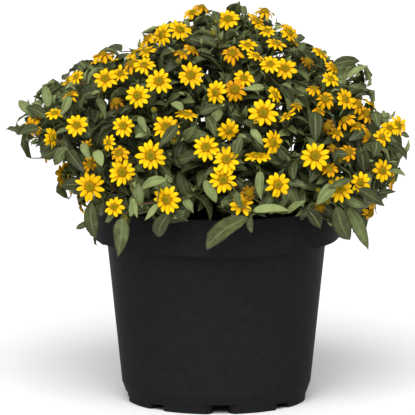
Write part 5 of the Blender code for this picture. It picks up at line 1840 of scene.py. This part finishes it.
class Shading:
    """A material under construction; its scales are per metre and its depths in metres."""

    def __init__(self, name: str) -> None:
        """Start a material.

        Args:
            name: Its name.
        """
        self.material = bpy.data.materials.new(name)
        self.material.use_nodes = True
        self.tree = self.material.node_tree
        self.shader = self.tree.nodes["Principled BSDF"]

    def node(self, kind: str, values: dict, output: int = 0, **settings: object) -> Socket:
        """Add a node.

        Args:
            kind: Its type.
            values: The value or the output for each input.
            output: Which of its outputs is wanted.
            **settings: Its own settings.

        Returns:
            The output.
        """
        node = self.tree.nodes.new(kind)
        for name, value in settings.items():
            setattr(node, name, value)
        self.feed(node, values)
        return node.outputs[output]

    def feed(self, node: bpy.types.Node, values: dict) -> None:
        """Link each input of a node to an output, or set its value.

        Args:
            node: The node.
            values: The output or the value for each input.
        """
        for key, value in values.items():
            if isinstance(value, Socket):
                self.tree.links.new(value, node.inputs[key])
            else:
                node.inputs[key].default_value = value

    def place(self) -> tuple[Socket, ...]:
        """Each point's place across and along its form, and the form's tone."""
        given = self.node("ShaderNodeAttribute", {}, 1, attribute_name="place")
        return tuple(self.node("ShaderNodeSeparateXYZ", {0: given}, axis) for axis in range(3))

    def luck(self) -> Socket:
        """The form's own number from 0 to 1."""
        return self.node("ShaderNodeAttribute", {}, 2, attribute_name="luck")

    def maths(self, operation: str, *values: object) -> Socket:
        """The result of an operation on numbers."""
        return self.node("ShaderNodeMath", dict(enumerate(values)), operation=operation)

    def spread(self, value: object, low: float, high: float, start: float, end: float) -> Socket:
        """A number carried from one range to another and held inside it."""
        values = {"Value": value, "From Min": low, "From Max": high, "To Min": start, "To Max": end}
        return self.node("ShaderNodeMapRange", values)

    def mix(self, share: object, first: object, second: object) -> Socket:
        """A mix of two colours."""
        values = {0: share, 6: first, 7: second}
        return self.node("ShaderNodeMix", values, 2, data_type="RGBA")

    def ramp(self, share: object, stops: Sequence[tuple[float, Colour]]) -> Socket:
        """A colour from a row of stops.

        Args:
            share: Where on the row.
            stops: Places and colours.

        Returns:
            The output.
        """
        output = self.node("ShaderNodeValToRGB", {0: share})
        elements = output.node.color_ramp.elements
        while len(elements) < len(stops):
            elements.new(0.5)
        for element, (position, colour) in zip(elements, stops):
            element.position = position
            element.color = linear(colour)
        return output

    def noise(self, scale: float, detail: float = 2.0) -> Socket:
        """Soft noise in the object's own space."""
        where = self.node("ShaderNodeTexCoord", {}, 3)
        return self.node("ShaderNodeTexNoise", {"Vector": where, "Scale": scale, "Detail": detail})

    def relief(self, height: object, strength: float, depth: float) -> None:
        """Give the surface fine relief."""
        values = {"Strength": strength, "Distance": depth, "Height": height}
        self.feed(self.shader, {"Normal": self.node("ShaderNodeBump", values)})

    def finish(self, colour: object, roughness: float, specular: float) -> Material:
        """Set the colour and the gloss.

        Args:
            colour: A colour or an output.
            roughness: How dull the surface is.
            specular: How strongly it mirrors.

        Returns:
            The material.
        """
        gloss = {"Roughness": roughness, "Specular IOR Level": specular}
        self.feed(self.shader, {"Base Color": colour, **gloss})
        return self.material


@dataclass(frozen=True)
class LeafFinish:
    """A dull satin leaf, dark when old and pale when young, with a paler rib and side veins."""

    name: str
    dark: Colour
    middle: Colour
    pale: Colour
    rib: Colour
    rib_strength: float
    roughness: float = 0.5
    specular: float = 0.35
    patches: float = 160.0
    grain: float = 900.0
    depth: float = 0.0004
    veins: float = 8.0
    vein_slant: float = 1.7

    def material(self) -> Material:
        """Make it.

        Returns:
            The material.
        """
        make = Shading(self.name)
        across, along, tone = make.place()
        patches = make.spread(make.noise(self.patches), 0.3, 0.7, -0.12, 0.12)
        age = make.maths("ADD", tone, make.spread(make.luck(), 0.0, 1.0, -0.1, 0.1))
        age = make.maths("ADD", age, patches)
        colour = make.ramp(age, ((0.0, self.dark), (0.42, self.middle), (1.0, self.pale)))
        away = make.maths("ABSOLUTE", across)
        rib = make.spread(away, 0.03, 0.13, self.rib_strength, 0.0)
        slant = make.maths("SUBTRACT", make.maths("MULTIPLY", along, self.veins),
                           make.maths("MULTIPLY", away, self.vein_slant))
        saw = make.maths("PINGPONG", slant, 0.5)
        vein = make.spread(saw, 0.0, 0.12, 0.4 * self.rib_strength, 0.0)
        colour = make.mix(make.maths("MAXIMUM", rib, vein), colour, linear(self.rib))
        edge = make.spread(away, 0.82, 1.0, 0.0, 0.3)
        colour = make.mix(edge, colour, linear(self.dark))
        swell = make.maths("SUBTRACT", make.noise(self.grain), make.maths("MULTIPLY", vein, 2.0))
        make.relief(swell, 0.35, self.depth)
        return make.finish(colour, self.roughness, self.specular)


@dataclass(frozen=True)
class RayFinish:
    """A petal, orange at its root and yellow at its tip, and deeper when old, with darker stripes
    that are painted shade in its grooves.
    """

    name: str
    root: Colour
    middle: Colour
    tip: Colour
    # old_root also paints the shade in the petal's grooves
    old_root: Colour
    old_tip: Colour
    roughness: float = 0.55
    specular: float = 0.25

    def material(self) -> Material:
        """Make it.

        Returns:
            The material.
        """
        make = Shading(self.name)
        across, along, tone = make.place()
        fresh = make.ramp(along, ((0.0, self.root), (0.5, self.middle), (1.0, self.tip)))
        aged = make.ramp(along, ((0.0, self.old_root), (1.0, self.old_tip)))
        colour = make.mix(tone, fresh, aged)
        # Darker stripes down the petal: painted shade along the grooves that the relief below sinks
        stripe = make.maths("PINGPONG", make.maths("MULTIPLY", across, 2.5), 0.5)
        groove = make.spread(stripe, 0.0, 0.2, 0.16, 0.0)
        colour = make.mix(groove, colour, linear(self.old_root))
        shade = make.spread(make.luck(), 0.0, 1.0, 0.0, 0.14)
        colour = make.mix(shade, colour, linear(self.old_tip))
        make.relief(stripe, 0.25, 0.0002)
        return make.finish(colour, self.roughness, self.specular)


@dataclass(frozen=True)
class DiscFinish:
    """Florets: olive in the middle, orange brown at the edge, and brown when old, with painted
    shade darkening their lower parts.
    """

    name: str
    middle: Colour
    edge: Colour
    old: Colour
    # deep is the colour of the painted shade low on each floret, between its neighbours
    deep: Colour
    roughness: float = 0.75
    specular: float = 0.2

    def material(self) -> Material:
        """Make it.

        Returns:
            The material.
        """
        make = Shading(self.name)
        height, share, tone = make.place()
        fresh = make.ramp(share, ((0.3, self.middle), (0.92, self.edge)))
        colour = make.mix(tone, fresh, linear(self.old))
        # Painted shade: each floret darkens towards its foot, where its neighbours would shade it
        low = make.spread(height, 0.3, 1.0, 0.65, 0.0)
        colour = make.mix(low, colour, linear(self.deep))
        return make.finish(colour, self.roughness, self.specular)


@dataclass(frozen=True)
class MottledFinish:
    """A stalk, a bract, plastic, compost or a floor: a colour that strays towards another."""

    name: str
    main: Colour
    other: Colour
    grain: float = 700.0
    depth: float = 0.0003
    roughness: float = 0.55
    specular: float = 0.3

    def material(self) -> Material:
        """Make it.

        Returns:
            The material.
        """
        make = Shading(self.name)
        patches = make.spread(make.noise(0.12 * self.grain, 3.0), 0.32, 0.68, 0.0, 0.9)
        share = make.maths("MULTIPLY", patches, make.luck())
        colour = make.mix(share, linear(self.main), linear(self.other))
        make.relief(make.noise(self.grain, 3.0), 0.3, self.depth)
        return make.finish(colour, self.roughness, self.specular)


STEM_FINISHES = {
    Slot.LEAF: LeafFinish("dull grey-green leaf", (32, 36, 15), (68, 75, 41), (134, 146, 90),
                          (132, 142, 92), 0.42, 0.5, 0.22),
    Slot.UNDERSIDE: LeafFinish("paler underside of a leaf", (42, 48, 24), (80, 88, 51),
                               (144, 156, 100), (138, 148, 98), 0.55, 0.6, 0.15),
    Slot.STALK: MottledFinish("green to red-brown stalk", (76, 84, 38), (92, 54, 30)),
    Slot.RAY: RayFinish("yellow petal", (214, 156, 0), (236, 189, 0), (240, 202, 0),
                        (180, 114, 0), (224, 166, 0), 0.6, 0.1),
    # The disc's last colour is the painted shade low between its florets
    Slot.DISC: DiscFinish("florets of a disc with painted shade", (118, 122, 8), (206, 156, 4), (150, 112, 10),
                          (112, 92, 4), 0.8, 0.1),
    Slot.BRACT: MottledFinish("green bract", (88, 102, 40), (120, 120, 44)),
    Slot.WITHERED: RayFinish("withered petal", (136, 98, 14), (158, 116, 14), (172, 128, 16),
                             (126, 86, 14), (150, 106, 16), 0.7, 0.1),
}
PLASTIC = MottledFinish("matte black plastic", (29, 29, 30), (33, 33, 34), 1500.0, 0.0001, 0.5,
                        0.01)
COMPOST = MottledFinish("dark compost", (44, 32, 24), (28, 21, 17), 700.0, 0.0012, 0.95, 0.1)
FLOOR = MottledFinish("pale floor", (250, 250, 250), (251, 251, 251), 60.0, 0.0001, 0.7, 0.1)


def arc(x: float, y: float, radius: float, start: float, end: float, steps: int) -> list[Span]:
    """Points of an arc round a middle; the angles are in degrees from straight out."""
    turns = [math.radians(start + (end - start) * step / steps) for step in range(steps + 1)]
    return [(x + radius * math.cos(turn), y + radius * math.sin(turn)) for turn in turns]


@dataclass
class NurseryPot:
    """The moulded pot: tapered wall, deep rim skirt and a foot cut by drainage notches."""

    wall: float = 1.5
    foot_radius: float = 62.4
    foot_ring: Span = (63.0, 5.4)
    wall_foot: Span = (65.8, 12.5)
    wall_top: Span = (76.5, 113.6)
    skirt: Span = (85.6, 114.8)
    rim: Span = (85.0, 140.8)
    rounding: float = 0.5
    rim_rounding: float = 0.75
    floor_height: float = 8.5
    floor_radius: float = 62.6
    sides: int = 144
    channels: int = 8
    channel_width: float = 10.5
    mouths: Span = (29.0, 15.0)
    heights: Span = (6.7, 4.2)
    mouth_depth: float = 9.0
    mouth_curve: float = 2.6
    mouth_steps: int = 8
    channel_start: float = 19.0
    first_channel: float = math.radians(-87.0)
    beyond: float = 6.0
    below: float = -2.0
    roof: tuple[Span, ...] = ((-1.3, 0.0), (-0.4, 0.4), (0.0, 1.5))
    hole_radius: float = 3.6
    hole_place: float = 44.0
    hole_span: Span = (1.0, 12.0)
    hole_sides: int = 24
    sharp_from: float = math.radians(32.0)

    def profile(self) -> list[Span]:
        """The pot's outline.

        Returns:
            Radii and heights, from the middle of the foot to the middle of the floor.
        """
        (ring, ring_top), (foot, foot_top) = self.foot_ring, self.wall_foot
        (top, under), (skirt, hem), (rim, lip) = self.wall_top, self.skirt, self.rim
        return [
            (0.0, 0.0), (self.foot_radius - 0.6, 0.0),
            *arc(self.foot_radius - 0.5, 0.5, self.rounding, -90.0, 0.0, 3),
            (ring, ring_top), (ring + 0.15, ring_top + 0.3), (ring + 0.45, ring_top + 0.42),
            (foot - 0.25, foot_top - 0.4), (foot, foot_top), (foot + 0.2, foot_top + 0.9),
            (top - 0.1, under - 1.0), (top + 0.4, under - 0.2), (top + 1.2, under + 0.1),
            (skirt - 0.6, hem - 0.05),
            *arc(skirt - 0.5, hem + 0.5, self.rounding, -60.0, 0.0, 3),
            *arc(rim - 0.75, lip - 0.75, self.rim_rounding, 0.0, 180.0, 8),
            (skirt - self.wall, hem + self.wall), (top - self.wall, under + self.wall),
            (self.floor_radius, self.floor_height), (0.0, self.floor_height),
        ]

    def channel_plan(self, mouth: float) -> list[Span]:
        """One side of a channel from above.

        Args:
            mouth: How wide it opens in the foot.

        Returns:
            Distances from the axis and half widths, outwards.
        """
        half = 0.5 * self.channel_width
        throat = self.foot_radius - self.mouth_depth
        plan = [(self.channel_start, half), (throat, half)]
        for step in range(1, self.mouth_steps + 1):
            share = step / self.mouth_steps
            flare = 1.0 - math.sqrt(1.0 - share ** self.mouth_curve)
            plan.append((throat + self.mouth_depth * share, half + (0.5 * mouth - half) * flare))
        plan.append((self.foot_radius + self.beyond, 0.5 * mouth))
        return plan

    def add_tools(self, index: int, channels: Bundle, drains: Bundle) -> None:
        """Add the solids that cut a notch with its rounded channel, and the drain hole above it.

        Args:
            index: Which of the channels.
            channels: What gathers the channels.
            drains: What gathers the drain holes.
        """
        angle = self.first_channel + math.tau * index / self.channels
        out = Vector((math.cos(angle), math.sin(angle), 0.0))
        side = UP.cross(out)
        plan = self.channel_plan(self.mouths[index % 2])
        height = self.heights[index % 2]
        rings = []
        roof = [(height + drop, inset) for drop, inset in self.roof]
        for level, inset in [(self.below, 0.0), *roof]:
            outline = [(far, inset - wide) for far, wide in plan]
            outline += [(far, wide - inset) for far, wide in reversed(plan)]
            rings.append([out * far + side * wide + UP * level for far, wide in outline])
        channels.add_rings(rings, 1.0)
        low, high = self.hole_span
        hole = [(0.0, low), (self.hole_radius, low), (self.hole_radius, high), (0.0, high)]
        drains.add_turned(out * self.hole_place, UP, hole, self.hole_sides)

    def build(self) -> None:
        """Make the pot and put it in place of its node."""
        body, channels, drains = Bundle(), Bundle(), Bundle()
        body.add_turned(Vector(), UP, self.profile(), self.sides)
        for index in range(self.channels):
            self.add_tools(index, channels, drains)
        materials = [PLASTIC.material()]
        pot = body.mesh_object("nursery_pot", materials)
        tools = [bundle.mesh_object("cutting tool", materials) for bundle in (channels, drains)]
        for tool in tools:
            cut = pot.modifiers.new("cut", "BOOLEAN")
            cut.operation = "DIFFERENCE"
            cut.solver = "EXACT"
            cut.object = tool
        graph = bpy.context.evaluated_depsgraph_get()
        done = bpy.data.meshes.new_from_object(pot.evaluated_get(graph))
        pot.modifiers.clear()
        pot.data = done
        for tool in tools:
            bpy.data.objects.remove(tool)
        done.set_sharp_from_angle(angle=self.sharp_from)
        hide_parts("pot")
        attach(pot, BODY)
        log.info("nursery_pot: %d faces", len(done.polygons))


@dataclass
class CompostBed:
    """The compost that fills the pot, with an uneven top and loose crumbs."""

    top: float = 128.5
    roughness: float = 0.9
    rough_depth: float = 1.6
    sides: int = 96
    bottom: tuple[Span, ...] = ((0.0, 8.85), (61.85, 8.85), (74.25, 115.85), (83.35, 117.05))
    shoulder: tuple[Span, ...] = ((82.75, 2.0), (80.5, 1.2))
    rings: Floats = (
        77.5, 72.0, 66.0, 60.0, 53.0, 46.0, 38.0, 30.0, 21.0, 12.0, 5.0, 0.0,
    )
    crumbs: int = 420
    crumb_reach: float = 78.0
    crumb_sizes: Span = (0.7, 2.2)
    crumb_waists: Span = (0.5, 1.0)
    crumb_leans: Span = (-1.0, 1.0)
    crumb_rise: float = 0.2
    crumb_sides: int = 5

    def build(self) -> None:
        """Make the compost and put it in place of its node."""
        profile = [*self.bottom, *((radius, self.top - drop) for radius, drop in self.shoulder)]
        profile += [(radius, self.top) for radius in self.rings]
        bundle = Bundle()
        bundle.add_turned(Vector(), UP, profile, self.sides)
        rng = random.Random("compost")
        for point in bundle.points[0]:
            if point[2] > self.top - self.rough_depth:
                point[2] += rng.uniform(-self.roughness, self.roughness)
        for _ in range(self.crumbs):
            reach = self.crumb_reach * math.sqrt(rng.random())
            angle = rng.uniform(0.0, math.tau)
            size = rng.uniform(*self.crumb_sizes)
            height = self.top + self.crumb_rise * size
            place = Vector((reach * math.cos(angle), reach * math.sin(angle), height))
            leans = (rng.uniform(*self.crumb_leans), rng.uniform(*self.crumb_leans))
            axis = Vector((*leans, 1.0)).normalized()
            waist = rng.uniform(*self.crumb_waists)
            lump = [(radius * size, level * size) for radius, level in
                    ((0.0, -0.7), (0.8, -0.3), (waist, 0.35), (0.0, 0.6))]
            bundle.add_turned(place, axis, lump, self.crumb_sides, luck=rng.random())
        bed = bundle.mesh_object("compost_bed", [COMPOST.material()])
        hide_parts("soil")
        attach(bed, BODY)
        log.info("compost_bed: %d faces", len(bed.data.polygons))


@dataclass
class Studio:
    """The pale floor, the soft light and the camera of the front view.

    The floor's half width and how far the camera sees are in metres.
    """

    distance: float = 6000.0
    centre_across: float = -6.2
    centre_up: float = 133.1
    lens: float = 743.0
    sensor: float = 36.0
    far_end: float = 100.0
    world: float = 0.5
    key: float = 3.35
    key_spread: float = math.radians(45.0)
    key_height: float = math.radians(45.0)
    key_turn: float = math.radians(-3.0)
    floor_half: float = 14.0

    def build(self) -> None:
        """Set it all up."""
        self.lay_floor()
        self.light()
        self.place_camera()

    def lay_floor(self) -> None:
        """Lay the floor that the pot stands on."""
        half = self.floor_half
        mesh = bpy.data.meshes.new("floor")
        corners = [(-half, -half, 0), (half, -half, 0), (half, half, 0), (-half, half, 0)]
        mesh.from_pydata(corners, [], [(0, 1, 2, 3)])
        mesh.materials.append(FLOOR.material())
        floor = bpy.data.objects.new("floor", mesh)
        bpy.context.scene.collection.objects.link(floor)
        floor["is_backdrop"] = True

    def light(self) -> None:
        """Light the scene from all around, and more from the front and above."""
        world = bpy.data.worlds.new("studio")
        world.use_nodes = True
        background = world.node_tree.nodes["Background"]
        background.inputs["Color"].default_value = (1.0, 1.0, 1.0, 1.0)
        background.inputs["Strength"].default_value = self.world
        bpy.context.scene.world = world
        lamp = bpy.data.lights.new("soft key", "SUN")
        lamp.energy = self.key
        lamp.angle = self.key_spread
        key = bpy.data.objects.new("soft key", lamp)
        level = Vector((math.sin(self.key_turn), -math.cos(self.key_turn), 0.0))
        source = level * math.cos(self.key_height) + UP * math.sin(self.key_height)
        key.rotation_euler = source.to_track_quat("Z", "Y").to_euler()
        bpy.context.scene.collection.objects.link(key)
        bpy.context.scene.view_settings.view_transform = "Standard"

    def place_camera(self) -> None:
        """Place the camera far off, as the photo looks nearly flat."""
        lens = bpy.data.cameras.new("front")
        lens.sensor_width = self.sensor
        lens.lens = self.lens
        lens.clip_end = self.far_end
        camera = bpy.data.objects.new("front", lens)
        target = RIGHT * self.centre_across + VIEW.up * self.centre_up
        turn = Matrix((RIGHT, VIEW.up, VIEW.near)).transposed()
        camera.matrix_world = Matrix.LocRotScale(
            (target + VIEW.near * self.distance) * METRE, turn.to_quaternion(), None,
        )
        bpy.context.scene.collection.objects.link(camera)
        bpy.context.scene.camera = camera


def main() -> None:
    """Build the stems, the pot, the compost and the studio."""
    plant = PackedPlant()
    Canopy(plant).grow()
    materials = [STEM_FINISHES[slot].material() for slot in Slot]
    for number, node in enumerate(plant.corners.names):
        stalks = [stalk for stalk in plant.stalks if stalk.owner == number]
        FloweringStem(f"flowering_stem_{number + 1:02d}", node, stalks, materials).build()
    NurseryPot().build()
    CompostBed().build()
    Studio().build()
    log.info("heads %d, leaves %d", sum(1 for stalk in plant.stalks if stalk.head),
             sum(len(stalk.leaves) for stalk in plant.stalks))
    sizes = {name: [list(corner) for corner in box] for name, box in
             (("cad", CAD_BOX), ("visual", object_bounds()))}


if __name__ == "__main__":
    logging.basicConfig(level=logging.INFO, format="%(message)s")
    main()
